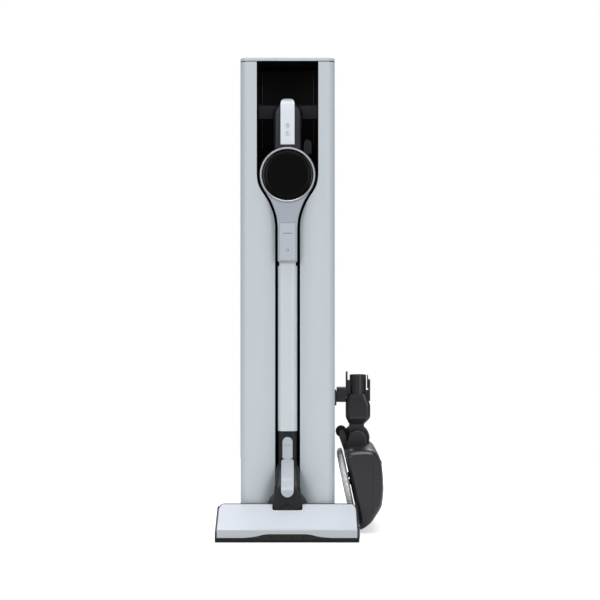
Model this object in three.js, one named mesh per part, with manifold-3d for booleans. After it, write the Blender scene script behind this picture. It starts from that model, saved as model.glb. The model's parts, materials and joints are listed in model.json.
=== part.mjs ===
// Cordless stick vacuum cleaner standing in its charging and emptying tower, with a spare power-mop nozzle
// hung on the tower's right-hand side. Millimetres, +Z up, -Y is the front, +X the right-hand side.
// Origin: centre of the tower's footprint, on the floor.
import * as THREE from "three";
import { mergeVertices } from "three/addons/utils/BufferGeometryUtils.js";
import Module from "manifold-3d";

const FACETS = 0.66;                         // share of the full facet count on round pieces
const wasm = await Module();
wasm.setup();

// ---------------------------------------------------------------- driving dimensions
const TOWER_W = 200, TOWER_D = 250, TOWER_H = 1005;
const LID_T = 8, LID_GAP = 1.5;              // top lid and the shadow gap under it
const WALL = 3;                              // tower shell wall
const FOOT_H = 4;                            // rubber feet under the base plate
const FRONT = -TOWER_D / 2, BACK = TOWER_D / 2;
const SHELL_TOP = TOWER_H - LID_T - LID_GAP; // 995.5
const CORNER_F = 20, CORNER_B = 25;
const SCOOP = 18, SCOOP_EDGE = 79;           // depth of the scooped front and where it starts
const SLOT_HALF = 26.5, RECESS_HALF = 65;    // keyhole slot half widths
const RECESS_BACK = 14, CHANNEL_BACK = -58;  // back walls of the recess and of the pipe channel
const CIRCLE_Z = 757, RING_R = 58.2, DISC_R = 53.6;
const FACE_Y = -129;                         // front face of the filter ring
const PIPE_HALF = 20.5, PIPE_Y = -96;        // light outer pipe: half width and axis
const PIPE_TOP = 573, PIPE_BOTTOM = 215.7;
const TUBE_R = 15.5;                         // telescoping inner tube
const PIVOT_Y = -104, PIVOT_Z = 40;          // nozzle tilt axis
const ROLL_Z = 40;                           // nozzle roll axis height
const NOZ_HALF = 147, NOZ_REAR = -133, NOZ_FRONT = -246, NOZ_TOP = 67;
const BRUSH_Y = -208, BRUSH_Z = 15.4, BRUSH_R = 14.5;

// ---------------------------------------------------------------- solids
const geoToSolid = (g) => {
  g = g.index ? g.clone() : g;
  g.deleteAttribute("normal"); g.deleteAttribute("uv");
  g = mergeVertices(g, 1e-4);
  return new wasm.Manifold(new wasm.Mesh({
    numProp: 3, vertProperties: new Float32Array(g.attributes.position.array), triVerts: new Uint32Array(g.index.array),
  }));
};
const solidToGeo = (s) => {
  const m = s.getMesh();
  const g = new THREE.BufferGeometry();
  const p = new Float32Array(m.numVert * 3);
  for (let i = 0; i < m.numVert; i++) for (let k = 0; k < 3; k++) p[i * 3 + k] = m.vertProperties[i * m.numProp + k];
  g.setAttribute("position", new THREE.BufferAttribute(p, 3));
  g.setIndex(new THREE.BufferAttribute(new Uint32Array(m.triVerts), 1));
  return g;
};
const V2 = (p) => new THREE.Vector2(p[0], p[1]);
const area2 = (pts) => { let a = 0; for (let i = 0; i < pts.length; i++) { const p = pts[i], q = pts[(i + 1) % pts.length]; a += p[0] * q[1] - q[0] * p[1]; } return a; };
const ccw = (pts) => (area2(pts) < 0 ? pts.slice().reverse() : pts);
// outlines are [[u, v], ...]; an extruded prism along each axis
const extr = (pts, depth, bevel = 0) => new THREE.ExtrudeGeometry(new THREE.Shape(ccw(pts).map(V2)), bevel
  ? { depth: depth - 2 * bevel, bevelEnabled: true, bevelThickness: bevel, bevelSize: bevel, bevelOffset: -bevel, bevelSegments: 2, steps: 1 }
  : { depth, bevelEnabled: false, steps: 1 });
const prismZ = (pts, z0, z1, bevel = 0) => geoToSolid(extr(pts, z1 - z0, bevel).translate(0, 0, z0 + bevel));
const prismY = (pts, y0, y1, bevel = 0) => geoToSolid(extr(pts, y1 - y0, bevel).rotateX(Math.PI / 2).translate(0, y1 - bevel, 0));
const BX = new THREE.Matrix4().makeBasis(new THREE.Vector3(0, 1, 0), new THREE.Vector3(0, 0, 1), new THREE.Vector3(1, 0, 0));
const prismX = (pts, x0, x1, bevel = 0) => geoToSolid(extr(pts, x1 - x0, bevel).applyMatrix4(BX).translate(x0 + bevel, 0, 0));
const box = (x0, x1, y0, y1, z0, z1) => geoToSolid(new THREE.BoxGeometry(x1 - x0, y1 - y0, z1 - z0).translate((x0 + x1) / 2, (y0 + y1) / 2, (z0 + z1) / 2));
// rounded rectangle outline
const rr = (u0, u1, v0, v1, r, seg = 5) => {
  seg = Math.max(2, Math.round(seg * FACETS));
  const out = [];
  const c = [[u1 - r, v0 + r, -90], [u1 - r, v1 - r, 0], [u0 + r, v1 - r, 90], [u0 + r, v0 + r, 180]];
  for (const [cu, cv, a0] of c) for (let i = 0; i <= seg; i++) { const a = (a0 + 90 * i / seg) * Math.PI / 180; out.push([cu + r * Math.cos(a), cv + r * Math.sin(a)]); }
  return out;
};
const circ = (cu, cv, r, n = 32, a0 = 0, a1 = 360) => {
  n = Math.max(4, 4 * Math.round(n * FACETS / 4));
  const out = []; const full = a1 - a0 >= 360;
  for (let i = 0; i < n + (full ? 0 : 1); i++) { const a = (a0 + (a1 - a0) * i / n) * Math.PI / 180; out.push([cu + r * Math.cos(a), cv + r * Math.sin(a)]); }
  return out;
};
// a loft through outlines with equal point counts; place(u, v, w) sets it in space (right-handed)
const loft = (sections, place = (u, v, w) => [u, v, w]) => {
  const n = sections[0].pts.length, pos = [], idx = [];
  for (const s of sections) for (const [u, v] of s.pts) pos.push(...place(u, v, s.w));
  for (let k = 0; k + 1 < sections.length; k++) for (let i = 0; i < n; i++) {
    const j = (i + 1) % n, a = k * n + i, b = k * n + j, c = (k + 1) * n + j, d = (k + 1) * n + i;
    idx.push(a, b, c, a, c, d);
  }
  const cap = (pts, base, up) => {
    for (const t of THREE.ShapeUtils.triangulateShape(pts.map(V2), [])) {
      const s = area2(t.map((i) => pts[i])) > 0;
      idx.push(...((s === up ? t : [t[0], t[2], t[1]]).map((i) => base + i)));
    }
  };
  cap(sections[0].pts, 0, false);
  cap(sections[sections.length - 1].pts, (sections.length - 1) * n, true);
  const g = new THREE.BufferGeometry();
  g.setAttribute("position", new THREE.Float32BufferAttribute(pos, 3));
  g.setIndex(idx);
  return geoToSolid(g);
};
// body of revolution: profile [[r, h], ...] starting and ending on the axis, or closed on itself
const latheG = (prof, seg = 32) => new THREE.LatheGeometry(prof.map(V2), Math.max(8, 4 * Math.round(seg * FACETS / 4)));   // axis = Y
const spinY = (prof, cx, cz, seg = 32) => fixOut(latheG(prof, seg).translate(cx, 0, cz));
const spinZ = (prof, cx, cy, seg = 40) => fixOut(latheG(prof, seg).rotateX(Math.PI / 2).translate(cx, cy, 0));
const spinX = (prof, cy, cz, seg = 40) => fixOut(latheG(prof, seg).rotateZ(-Math.PI / 2).translate(0, cy, cz));
const fixOut = (g) => { // turn the faces outwards if the profile ran the other way
  g.deleteAttribute("normal"); g.deleteAttribute("uv");
  g = mergeVertices(g, 1e-4);
  const p = g.attributes.position, ix = Array.from(g.index.array), keep = [];
  let vol = 0;
  const a = new THREE.Vector3(), b = new THREE.Vector3(), c = new THREE.Vector3();
  for (let i = 0; i < ix.length; i += 3) {
    if (ix[i] === ix[i + 1] || ix[i + 1] === ix[i + 2] || ix[i] === ix[i + 2]) continue;
    keep.push(ix[i], ix[i + 1], ix[i + 2]);
    a.fromBufferAttribute(p, ix[i]); b.fromBufferAttribute(p, ix[i + 1]); c.fromBufferAttribute(p, ix[i + 2]);
    vol += a.dot(b.cross(c));
  }
  if (vol < 0) for (let i = 0; i < keep.length; i += 3) { const t = keep[i + 1]; keep[i + 1] = keep[i + 2]; keep[i + 2] = t; }
  g.setIndex(keep);
  return geoToSolid(g);
};
const cylY = (cx, cz, r, y0, y1, seg = 40) => prismY(circ(cx, cz, r, seg), y0, y1);
const cylZ = (cx, cy, r, z0, z1, seg = 40) => prismZ(circ(cx, cy, r, seg), z0, z1);
const cylX = (cy, cz, r, x0, x1, seg = 40) => prismX(circ(cy, cz, r, seg), x0, x1);
const mirrorX = (s) => s.mirror([1, 0, 0]);

// ---------------------------------------------------------------- materials
const M = (color, roughness, metalness = 0, extra = {}) => new THREE.MeshStandardMaterial({ color, roughness, metalness, ...extra });
const silver = M(0xc8cfd5, 0.42, 0.25), silverLight = M(0xdee0e6, 0.4, 0.2), silverPipe = M(0xccd0cf, 0.38, 0.45);
const blackSatin = M(0x0b0b0c, 0.5), darkGrey = M(0x414246, 0.5), dockGrey = M(0x28282b, 0.5);
const glossBlack = M(0x0a0a0a, 0.15), rubber = M(0x1c1c1e, 0.85), mopDark = M(0x343134, 0.42), clearSmoke = M(0x2a2c2e, 0.2);
const inner = M(0x3a3d40, 0.7), green = M(0x2f5f45, 0.6), paper = M(0xe4e0d6, 0.9), padCloth = M(0xe2e2e0, 0.95), steel = M(0xb8bcc0, 0.3, 0.9);
const copper = M(0xc69a4a, 0.35, 0.9), brushRed = M(0x6a6d72, 0.8), amberGlass = M(0x26281c, 0.2);

const group = new THREE.Group();
group.name = "stick_vacuum_tower";
const add = (name, solid, material) => {
  const m = new THREE.Mesh(solidToGeo(solid), material);
  m.name = name;
  group.add(m);
  return m;
};

// ================================================================ TOWER
const ease = (u) => { u = Math.min(1, Math.max(0, u)); return u * u * (3 - 2 * u); };
const scoopDepth = (z) => SCOOP * (1 - ease((z - 690) / 62));
const scoopAt = (x) => Math.pow(Math.min(1, Math.max(0, (SCOOP_EDGE - Math.abs(x)) / (SCOOP_EDGE - SLOT_HALF))), 1.6);
const SCOOP_X = [-80, -68, -56, -45, -35, -26, 26, 35, 45, 56, 68, 80];
const towerOutline = (z, t, scoop = true) => {
  const w = TOWER_W / 2 - t, f = FRONT + t, b = BACK - t, rf = CORNER_F - t, rb = CORNER_B - t, out = [];
  for (const x of SCOOP_X) out.push([x, f + (scoop ? scoopDepth(z) * scoopAt(x) : 0)]);
  const arc = (cx, cy, r, a0, n) => { for (let i = 0; i <= n; i++) { const a = (a0 + 90 * i / n) * Math.PI / 180; if (i > 0 || a0 !== -90 || r < w - 80 - 1e-6 || cx - 0 > 80.01) out.push([cx + r * Math.cos(a), cy + r * Math.sin(a)]); } };
  arc(w - rf, f + rf, rf, -90, 4); arc(w - rb, b - rb, rb, 0, 4); arc(-w + rb, b - rb, rb, 90, 4);
  for (let i = 0; i < 4; i++) { const a = (180 + 90 * i / 4) * Math.PI / 180; out.push([-w + rf + rf * Math.cos(a), f + rf + rf * Math.sin(a)]); }
  return out;
};
const towerSolid = (z0, z1, t) => {
  const zs = [z0, 692, 706, 721, 736, 752, z1];
  return loft(zs.map((z) => ({ w: z, pts: towerOutline(z, t) })));
};
// keyhole outline (x, z), grown outwards by g
const KEY = [[SLOT_HALF, 0], [SLOT_HALF, 645], [27.2, 662], [32.9, 683], [42.5, 704], [52, 717], [59, 729], [63.6, 742], [RECESS_HALF, 757], [RECESS_HALF, 1200]];
const keyhole = (g, z0, z1) => {
  const r = KEY.map(([x, z]) => [x + g, z]);
  r[0][1] = z0; r[r.length - 1][1] = z1;
  return [...r, ...r.slice().reverse().map(([x, z]) => [-x, z])];
};
const shellOuter = towerSolid(6, SHELL_TOP, 0);
const shellInner = towerSolid(-5, 1010, WALL);
const linerSpace = towerSolid(14, SHELL_TOP - 1, WALL + 0.3);
const tongueSlots = box(95, 101, -10, 20, 258, 302);
let towerShell = shellOuter.subtract(shellInner).subtract(prismY(keyhole(0, -20, 1100), -150, -90));
// rear outlet slots and inlet opening low on the back wall
for (let i = 0; i < 6; i++) towerShell = towerShell.subtract(box(-45, 45, 115, 130, 64 + i * 9, 68.5 + i * 9));
towerShell = towerShell.subtract(box(-62, -38, 115, 130, 22, 46));
add("tower_shell", towerShell, silver);

// black liner of the recess (upper) and of the pipe channel (lower)
const LT = 2.5;
let liner = prismY(keyhole(LT, 12, SHELL_TOP - 1), -130, CHANNEL_BACK + LT)
  .add(prismY(keyhole(LT, 640, SHELL_TOP - 1).map(([x, z]) => [x, z]), -130, RECESS_BACK + LT)).intersect(linerSpace);
liner = liner.subtract(prismY(keyhole(0, -20, 1100), -150, CHANNEL_BACK))
  .subtract(prismY(keyhole(0, 640 + LT, 1100), -150, RECESS_BACK))
  .subtract(cylY(0, CIRCLE_Z, 56, 0, 40, 40)).subtract(box(-35, 35, 0, 40, 692, 735));
add("recess_liner", liner, blackSatin);

// top lid with a skirt that locates in the shell, and a hinge barrel at the rear
const lidPlan = (t) => towerOutline(2000, t, false);
const LZ = TOWER_H - LID_T;
let lid = loft([{ w: LZ, pts: lidPlan(0.8) }, { w: LZ + 1, pts: lidPlan(0) }, { w: LZ + 5.5, pts: lidPlan(0) }, { w: LZ + 7.3, pts: lidPlan(0.8) }, { w: TOWER_H, pts: lidPlan(2.6) }]);
const HINGE_Y = 98.6, HINGE_Z = TOWER_H - 3.5, HINGE_R = 3.2;
const lidCut = prismZ(lidPlan(4), LZ - 1, LZ + 4.5);
const lidFull = lid;
lid = lidFull.subtract(lidCut).intersect(box(-200, 200, -200, HINGE_Y, 900, 1100)).add(cylX(HINGE_Y, HINGE_Z, HINGE_R, -60, 60, 20)).add(box(-60, 60, HINGE_Y - 6, HINGE_Y, HINGE_Z - 3, TOWER_H - 0.6))
  .subtract(box(-69, -60.4, HINGE_Y - 5, 110, 900, 1100)).subtract(box(60.4, 69, HINGE_Y - 5, 110, 900, 1100)).subtract(cylX(HINGE_Y, HINGE_Z, 1.6, -70, 70, 12));
add("top_lid", lid, silver);
// fixed rear cap with the two hinge lugs and the hinge pin
let rearCap = lidFull.intersect(box(-200, 200, 102.7, 200, 900, 1100)).add(box(-68.6, -60.8, HINGE_Y - 3.4, 104, HINGE_Z - 3.2, HINGE_Z + 3.2)).add(box(60.8, 68.6, HINGE_Y - 3.4, 104, HINGE_Z - 3.2, HINGE_Z + 3.2))
  .add(prismZ(towerOutline(100, WALL + 0.4, false), 985, LZ + 1).intersect(box(-94, 94, 104, 200, 900, 1100)).subtract(box(-90, 90, 100, 118, 900, LZ)))
  .add(cylX(HINGE_Y, HINGE_Z, 1.2, -64, 64, 12));
add("lid_rear_cap", rearCap, silver);
towerShell = null;

// base plate with the channel notch, and the rubber foot mat under it
let base = prismZ(towerOutline(100, WALL + 0.3), 5, 11.5).subtract(box(-30, 30, -140, CHANNEL_BACK + 4, 0, 20));
add("base_plate", base, darkGrey);
const mat = prismZ(rr(-86, 86, -108, 108, 14, 5), 0, 4.7).subtract(box(-34, 34, -120, -46, -1, 6)).subtract(box(-70, 70, 14, 92, -1, 6))
  .subtract(box(-72, -48, -92, -14, -1, 6)).subtract(box(48, 72, -92, -14, -1, 6));
add("foot_mat", mat, rubber);

// dock bridge across the recess behind the handle, with the charging contacts
let bridge = prismX([[8.4, 890], [8.4, 919], [11, 922], [13.6, 922], [13.6, 888], [10.5, 888]], -64.6, 64.6);
bridge = bridge.subtract(box(-12, 12, 5, 11, 898, 909));
add("dock_bridge", bridge, dockGrey);
add("charging_contacts", box(-11.6, 11.6, 6.6, 10.6, 898.4, 908.6), copper);

// dock port: chamber behind the recess that takes the opened bin lid, and the outlet up to the bag
let port = box(-60, 60, 17, 118, 690, 822).subtract(box(-57, 57, 10, 115, 693, 819)).subtract(box(20, 50, 40, 90, 815, 830));
port = port.subtract(box(-45, -15, 40, 90, 815, 830));
add("dock_port", port, inner);
const bagBody = prismZ(rr(-61, 88, 28, 108, 22, 4), 832, 962, 10);
add("dust_bag", bagBody, paper);
add("bag_collar", box(14, 56, 34, 96, 824, 831.5).subtract(prismZ(circ(35, 65, 14, 20), 820, 840)), green);
// air duct from the bag space down to the tower motor
let duct = prismZ(rr(-92, -64, 70, 112, 6, 3), 205, 900).subtract(prismZ(rr(-90, -66, 72, 110, 4, 3), 200, 910));
duct = duct.add(prismX([[70, 205], [112, 205], [112, 180], [70, 180]], -92, 30)).subtract(prismX([[72, 203], [110, 203], [110, 182], [72, 182]], -90, 28)).subtract(prismZ(rr(-90, -66, 72, 110, 4, 3), 190, 220)).subtract(prismZ(circ(0, 91, 15, 20), 170, 190));
add("air_duct", duct, inner);
add("tower_motor", spinZ([[0, 100], [44, 100], [48, 106], [48, 150], [40, 160], [24, 164], [14, 178], [0, 178]], 0, 62, 36), steel);
add("exhaust_filter", box(-50, 50, 100, 118, 62, 84.5).subtract(box(-46, 46, 95, 101.5, 66, 81)), paper);
add("control_board", box(-60, 60, 108, 112, 400, 520).add(box(-50, -20, 100, 109, 420, 450)).add(box(0, 40, 98, 109, 470, 500)), green);
add("power_inlet", box(-60.5, -39.5, 96, 123.6, 23.5, 44.5).subtract(box(-58, -42, 104, 126, 26, 42)).add(box(-53, -51, 103, 119, 30, 36)).add(box(-49, -47, 103, 119, 30, 36)), blackSatin);

// holder for the spare nozzle on the right-hand wall: plate with a T-shaped tongue
let holder = prismX(rr(-13, 23, 263, 297, 4, 3), 100.3, 105.8).add(box(105.5, 109.6, 1, 9, 266, 295)).add(box(109.4, 113, -3, 13, 266, 295));
add("mop_holder", holder, silverLight);

// ================================================================ VACUUM: head
add("filter_ring", spinY([[54.2, -117.2], [54.2, -127.6], [55.2, -129], [57.2, -129], [58.2, -127.6], [58.2, -117.2], [54.2, -117.2]], 0, CIRCLE_Z, 44), silverLight);
add("filter_disc", spinY([[0, -127.6], [25, -127.4], [42, -126.8], [50, -126], [53.7, -124.4], [53.7, -119.4], [0, -119.4]], 0, CIRCLE_Z, 44), glossBlack);
const pleat = []; for (let i = 0; i < 72; i++) { const a = i * Math.PI / 36, r = i % 2 ? 47 : 41; pleat.push([r * Math.cos(a), CIRCLE_Z + r * Math.sin(a)]); }
add("filter_element", prismY(pleat, -119, -100).subtract(cylY(0, CIRCLE_Z, 20, -125, -104, 24)), paper);
let housing = spinY([[0, -60], [54, -60], [60.5, -66], [60.5, -113], [59.5, -116.8], [50.2, -116.8], [50.2, -98], [42, -94], [42, -64], [0, -64]], 0, CIRCLE_Z, 44);
add("motor_housing", housing.subtract(cylY(0, CIRCLE_Z, 12, -70, -50, 20)), darkGrey);
add("vac_motor", spinY([[0, -97.5], [16, -97.5], [30, -94], [37, -90], [37, -70], [26, -66], [0, -66]], 0, CIRCLE_Z, 32), steel);
let bin = cylY(0, CIRCLE_Z, 52, -59.6, 3.9, 44).subtract(cylY(0, CIRCLE_Z, 49.4, -70, 20, 44));
bin = bin.add(box(-14, -9, -8, 10, 697, 707)).add(box(9, 14, -8, 10, 697, 707)).subtract(cylY(0, CIRCLE_Z, 49.4, -70, 20, 44));
bin = bin.subtract(box(-14.6, 14.6, 3.9, 11, 704.2, 720)).subtract(box(-12, 12, -50, -20, 700, 715)).subtract(box(41, 44, -58, -3, 780, 800)).add(cylX(6.4, 700.6, 1.25, -14, 14, 12)); // air inlet, lever slot, lid pin
add("dust_bin", bin, clearSmoke);
let core = spinY([[0, -59.6], [30, -59.6], [30, -54], [26, -52], [26, -20], [22, -16], [0, -16]], 0, CIRCLE_Z, 32).subtract(cylY(0, CIRCLE_Z, 12, -70, -22, 20));
for (let k = 0; k < 10; k++) { const a = k * Math.PI / 5; core = core.subtract(box(-2.6, 2.6, -48, -26, 10, 32).rotate([0, a * 180 / Math.PI, 0]).translate([0, 0, CIRCLE_Z])); }
add("cyclone_core", core, steel);
const ringS = cylY(0, CIRCLE_Z, 49, -50, -45, 36).subtract(cylY(0, CIRCLE_Z, 27, -60, -40, 32));
add("compressor_ring", ringS, rubber);
let lever = prismY([[34.4, 807], [34.4, 829.6], [35.7, 834], [38.4, 836.8], [42.6, 837.6], [46.8, 836.8], [49.5, 834], [50.8, 829.6], [50.8, 807]], -57.5, -49, 1.2)
  .add(box(41.6, 43.4, -55, -50.2, 782, 809)).subtract(cylY(0, CIRCLE_Z, 49.4, -70, 20, 44));
add("compressor_lever", lever, darkGrey);
let binLid = cylY(0, CIRCLE_Z, 52, 4.3, 8.3, 44).add(box(-8.6, 8.6, 4.3, 8.3, 700.6, 710)).add(cylX(6.4, 700.6, 2.9, -8.6, 8.6, 16)).subtract(cylX(6.4, 700.6, 1.6, -20, 20, 12));
add("bin_lid", binLid.add(box(-57, -48, 4.3, 8.3, 750, 764)), darkGrey);
add("bin_latch", prismX(rr(-14, 3.9, 749, 765, 2.5, 2), -57.5, -54, 0), darkGrey);

// neck: racket-shaped shell running into the ring, bored for the pipe spigot
const NECK = [[20.5, 573.4], [20.5, 641], [21.7, 662], [27.4, 683], [35.1, 704], [46.5, 721], [46.5, 757]];
const neckOutline = [...NECK, ...NECK.slice().reverse().map(([x, z]) => [-x, z])];
let neck = prismY(neckOutline, -127.4, -78, 2.2).subtract(cylY(0, CIRCLE_Z, 59, -140, -50, 66)).subtract(cylY(0, CIRCLE_Z, 60.8, -117.1, -50, 44));
neck = neck.subtract(prismY(neckOutline.map(([x, z]) => [x, z]), -79, -40)).subtract(cylZ(0, PIPE_Y, 16.2, 560, 678, 28));
neck = neck.subtract(prismY(rr(-17.3, 17.3, 577, 655.8, 3, 3), -140, -121.6));
add("neck_shell", neck, silverLight);
add("pipe_release_button", prismY(rr(-16.9, 16.9, 577.4, 655.4, 2.7, 3), -127.2, -124.2, 0.7), silverLight);

// handle: grip in front, bridge over the top, rear post; light strip with two buttons; battery behind
const loop = [[-118, 812], [-119.4, 840], [-119.4, 896], [-116, 908], [-108, 916], [-97, 919], [-60, 915], [-50, 911], [-46.2, 902], [-46.2, 809.6], [-60.2, 809.6], [-60.2, 800], [-116.6, 800]];
let handle = prismX(loop, -14.2, 14.2, 4).subtract(prismX(rr(-96, -60, 828, 896, 12, 4), -30, 30)).subtract(cylY(0, CIRCLE_Z, 60.8, -140, -59.6, 44)).subtract(cylY(0, CIRCLE_Z, 52.4, -61, -40, 44));
handle = handle.subtract(prismX([[-130, 821.2], [-130, 930], [-95.5, 930], [-95.5, 918.2], [-100, 917.3], [-108, 912.6], [-113.1, 903.9], [-115.1, 895], [-115.1, 821.2]], -30, 30));
handle = handle.subtract(prismY(rr(-6.5, 6.5, 838, 869, 6, 4), -130, -112.4)).add(box(-9, 9, -102, -90, 898, 911));
add("handle_shell", handle, darkGrey);
let strip = prismX([[-119.8, 821.6], [-119.8, 896], [-116.6, 908.4], [-108.6, 917], [-99, 920.6], [-97, 921], [-97, 919.6], [-100, 917.8], [-108.2, 913.2], [-113.7, 904.2], [-115.7, 895], [-115.7, 821.6]], -14.7, 14.7)
  .intersect(prismY([[-14.7, 800], [14.7, 800], [14.7, 911], [11.5, 917.5], [5, 921.2], [-5, 921.2], [-11.5, 917.5], [-14.7, 911]], -130, -60));
strip = strip.subtract(prismY(rr(-5.3, 5.3, 856.7, 867.3, 3.6, 4), -130, -110)).subtract(prismY(rr(-5.3, 5.3, 839.7, 850.3, 3.6, 4), -130, -110));
add("handle_cover", strip, silverLight);
add("power_button", prismY(rr(-5, 5, 857, 867, 3.3, 4), -120.3, -114), silverLight);
add("mode_button", prismY(rr(-5, 5, 840, 850, 3.3, 4), -120.3, -114), silverLight);
const batt = [[-31.8, 812.5], [31.8, 812.5], [31.8, 894], [29.8, 904], [24, 912.5], [15.5, 918.5], [7, 920.6], [-7, 920.6], [-15.5, 918.5], [-24, 912.5], [-29.8, 904], [-31.8, 894]];
add("battery_pack", prismY(batt, -45.8, 6.2, 3), darkGrey);

// ================================================================ VACUUM: pipe
let pipe = prismZ(rr(-PIPE_HALF, PIPE_HALF, PIPE_Y - 20.5, PIPE_Y + 20.5, 13, 5), PIPE_BOTTOM + 0.2, PIPE_TOP, 0).add(cylZ(0, PIPE_Y, 15.9, PIPE_TOP - 1, 612, 28)).subtract(cylZ(0, PIPE_Y, 15.9 - 0, 200, 566, 28)).subtract(cylZ(0, PIPE_Y, 13, 560, 620, 24));
add("upper_pipe", pipe, silverPipe);
let collar = prismZ(rr(-20, 20, PIPE_Y - 20, PIPE_Y + 20, 12, 5), 158, PIPE_BOTTOM - 0.1).subtract(cylZ(0, PIPE_Y, 15.9, 150, 220, 28)).subtract(prismY(rr(-11, 11, 140, 204.2, 11, 6), -130, -113));
add("pipe_collar", collar, darkGrey);
add("length_lock_lever", prismY(rr(-10.6, 10.6, 157.4, 203.7, 3, 6).map(([x, z]) => [x, z]), -119.6, -115.6, 0.8).intersect(prismY([...circ(0, 193.1, 10.6, 12, 0, 180), ...circ(0, 171, 15, 8, 225, 315)].map(([x, z]) => [Math.max(-10.6, Math.min(10.6, x)), z]), -130, -110)), silverLight);
add("lower_pipe", cylZ(0, PIPE_Y, TUBE_R, 122, 560, 28).subtract(cylZ(0, PIPE_Y, 13.8, 100, 580, 28)), steel);

// nozzle neck: socket for the pipe above, elbow forward, ring around the roll hub below
const ns = (w, hw, y0, y1, r = 10) => ({ w, pts: rr(-hw, hw, y0, y1, r, 4) });
let nneck = loft([ns(56, 28, -160, -124.2, 8), ns(90, 28, -160, -124.2, 8), ns(99, 27.4, -157, -124.2, 8), ns(112, 25.4, -146, -108, 10), ns(125, 25.4, -133, -84, 12), ns(136, 24, -121, -77), ns(147, 20, -117, -76, 12), ns(157, 20, -116, -76, 12)])
  .add(cylY(0, 52, 28, -160, -124.2, 40)).subtract(cylY(0, 52, 14.4, -170, -110, 32)).subtract(cylZ(0, PIPE_Y, 15.9, 119, 170, 28));
const leverFront = (o, a, b) => [[-121 + o, b], [-121 + o, 146], [-137 + o, 119], [-163.4 + o, 98], [-164 + o, 90], [-164 + o, a], [-160 + o + 0, a], [-160 + o, 91], [-158.5 + o, 100], [-133.5 + o, 122], [-117.4 + o, 147], [-117.4 + o, b]];
const levPocket = prismX([[-190, 60], [-190, 170], [-113, 170], [-113, 147], [-127.4, 122.6], [-152, 101.6], [-156, 90], [-156, 60]], -13.6, 13.6).intersect(prismY([...circ(0, 95.4, 13.6, 12, 180, 360), [13.6, 170], [-13.6, 170]], -200, -100));
nneck = nneck.subtract(levPocket);
add("nozzle_neck", nneck, darkGrey);
const rel = prismX(leverFront(0, 82, 156.6), -13.1, 13.1).intersect(prismY([...circ(0, 95.3, 13.1, 12, 180, 360), [13.1, 150], [10.6, 156.6], [-10.6, 156.6], [-13.1, 150]], -200, -100));
add("nozzle_release_lever", rel, silverLight);

// yoke: half-disc backing plate, roll hub, tilt knuckle
let yoke = cylY(0, 52, 43.6, -123.6, -117.6, 48).add(cylY(0, 52, 14, -163, -120, 32)).add(cylX(-168, 38, 6.6, -12, 12, 24)).add(box(-12, 12, -168, -161.5, 38, 50));
yoke = yoke.subtract(cylX(-168, 38, 3.3, -20, 20, 16)).subtract(box(-60, 60, -130, -110, 0, 20)).subtract(cylY(0, 56, 7, -180, -122, 20));
add("roll_yoke", yoke, darkGrey);
add("yoke_pin", cylX(-168, 38, 3, -31, 31, 16), steel);

// ================================================================ VACUUM: floor nozzle
const CHX = 131;
const nozProf = [[-133, 38], [-133, 55.6], [-136, 59.8], [-141, 61], [-236, 24.3], [-241.5, 23.6], [-243.6, 21], [-244, 4], [-240, 2.4], [-190, 3], [-160, 6]];
let noz = prismX(nozProf, -NOZ_HALF, NOZ_HALF, 1.2).add(box(-138, 138, -136.8, -133.2, 50, 65.8));
noz = noz.subtract(cylX(BRUSH_Y, BRUSH_Z, 17, -CHX, CHX, 28)).subtract(box(-CHX, CHX, BRUSH_Y - 15, BRUSH_Y + 15, -5, 15)).subtract(box(-55, 55, -260, BRUSH_Y, 5.5, 15));
noz = noz.subtract(box(-33.5, 33.5, -176, -100, -10, 100)).subtract(box(-33.5, 33.5, -188, -100, -10, 31));
for (const s of [1, -1]) {
  const e = cylX(-168, 38, 6.6, 12.6, 34, 24).add(box(12.6, 34, -178, -168, 32, 44.6));
  noz = noz.add(s > 0 ? e : mirrorX(e));
  const wheelBay = box(54, 68, -162, -130, -2, 21);
  noz = noz.subtract(s > 0 ? wheelBay : mirrorX(wheelBay));
}
noz = noz.subtract(cylX(-168, 38, 3.3, -32, 32, 16)).subtract(box(-22, 22, -204, -170, 31.5, 41)).subtract(cylX(BRUSH_Y, BRUSH_Z, 5, CHX - 2, 160, 20)).subtract(cylX(BRUSH_Y, BRUSH_Z, 5, -139, -CHX + 2, 20));
noz = noz.subtract(cylX(-147, 9.6, 2.2, 50, 72, 12)).subtract(cylX(-147, 9.6, 2.2, -72, -50, 12));
add("nozzle_housing", noz, darkGrey);
// light top cover
const covProf = [[-137.2, 60.9], [-137.8, 63.2], [-142, 64.6], [-236.4, 27.7], [-244.2, 26.9], [-246, 23.7], [-246, 9.8], [-244.3, 9.8], [-244.3, 23.2], [-241.8, 24.9], [-236.2, 25.1], [-141.4, 61.6]];
let cover = prismX(covProf, -142.6, 142.6);
const coverPlan = [[-142.6, 9.9], [-142.6, 55.5], [-140.6, 60.5], [-136.6, 64], [-131, 65.8], [-127, 67.6], [127, 67.6], [131, 65.8], [136.6, 64], [140.6, 60.5], [142.6, 55.5], [142.6, 9.9], [85, 10.2], [60, 13], [37, 17.6], [-37, 17.6], [-60, 13], [-85, 10.2]];
cover = cover.intersect(prismY(coverPlan, -260, -120)).subtract(prismZ(rr(-30.6, 30.6, -165.8, -100, 5.6, 5), 30, 100));
add("nozzle_cover", cover, silverLight);
// soft front bumper with the lamp window at its middle
let bumper = prismX([[-244.3, 1], [-247.6, 1], [-247.8, 9.4], [-244.3, 9.4]], -146.6, 146.6);
bumper = bumper.subtract(box(-57.4, 57.4, -250, -240, 4.4, 20));
add("front_bumper", bumper, rubber);
add("lamp_window", prismY([[-57, 4.8], [57, 4.8], [57, 13.2], [36.6, 17.2], [-36.6, 17.2], [-57, 13.2]], -246.6, -244.4), amberGlass);
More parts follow.
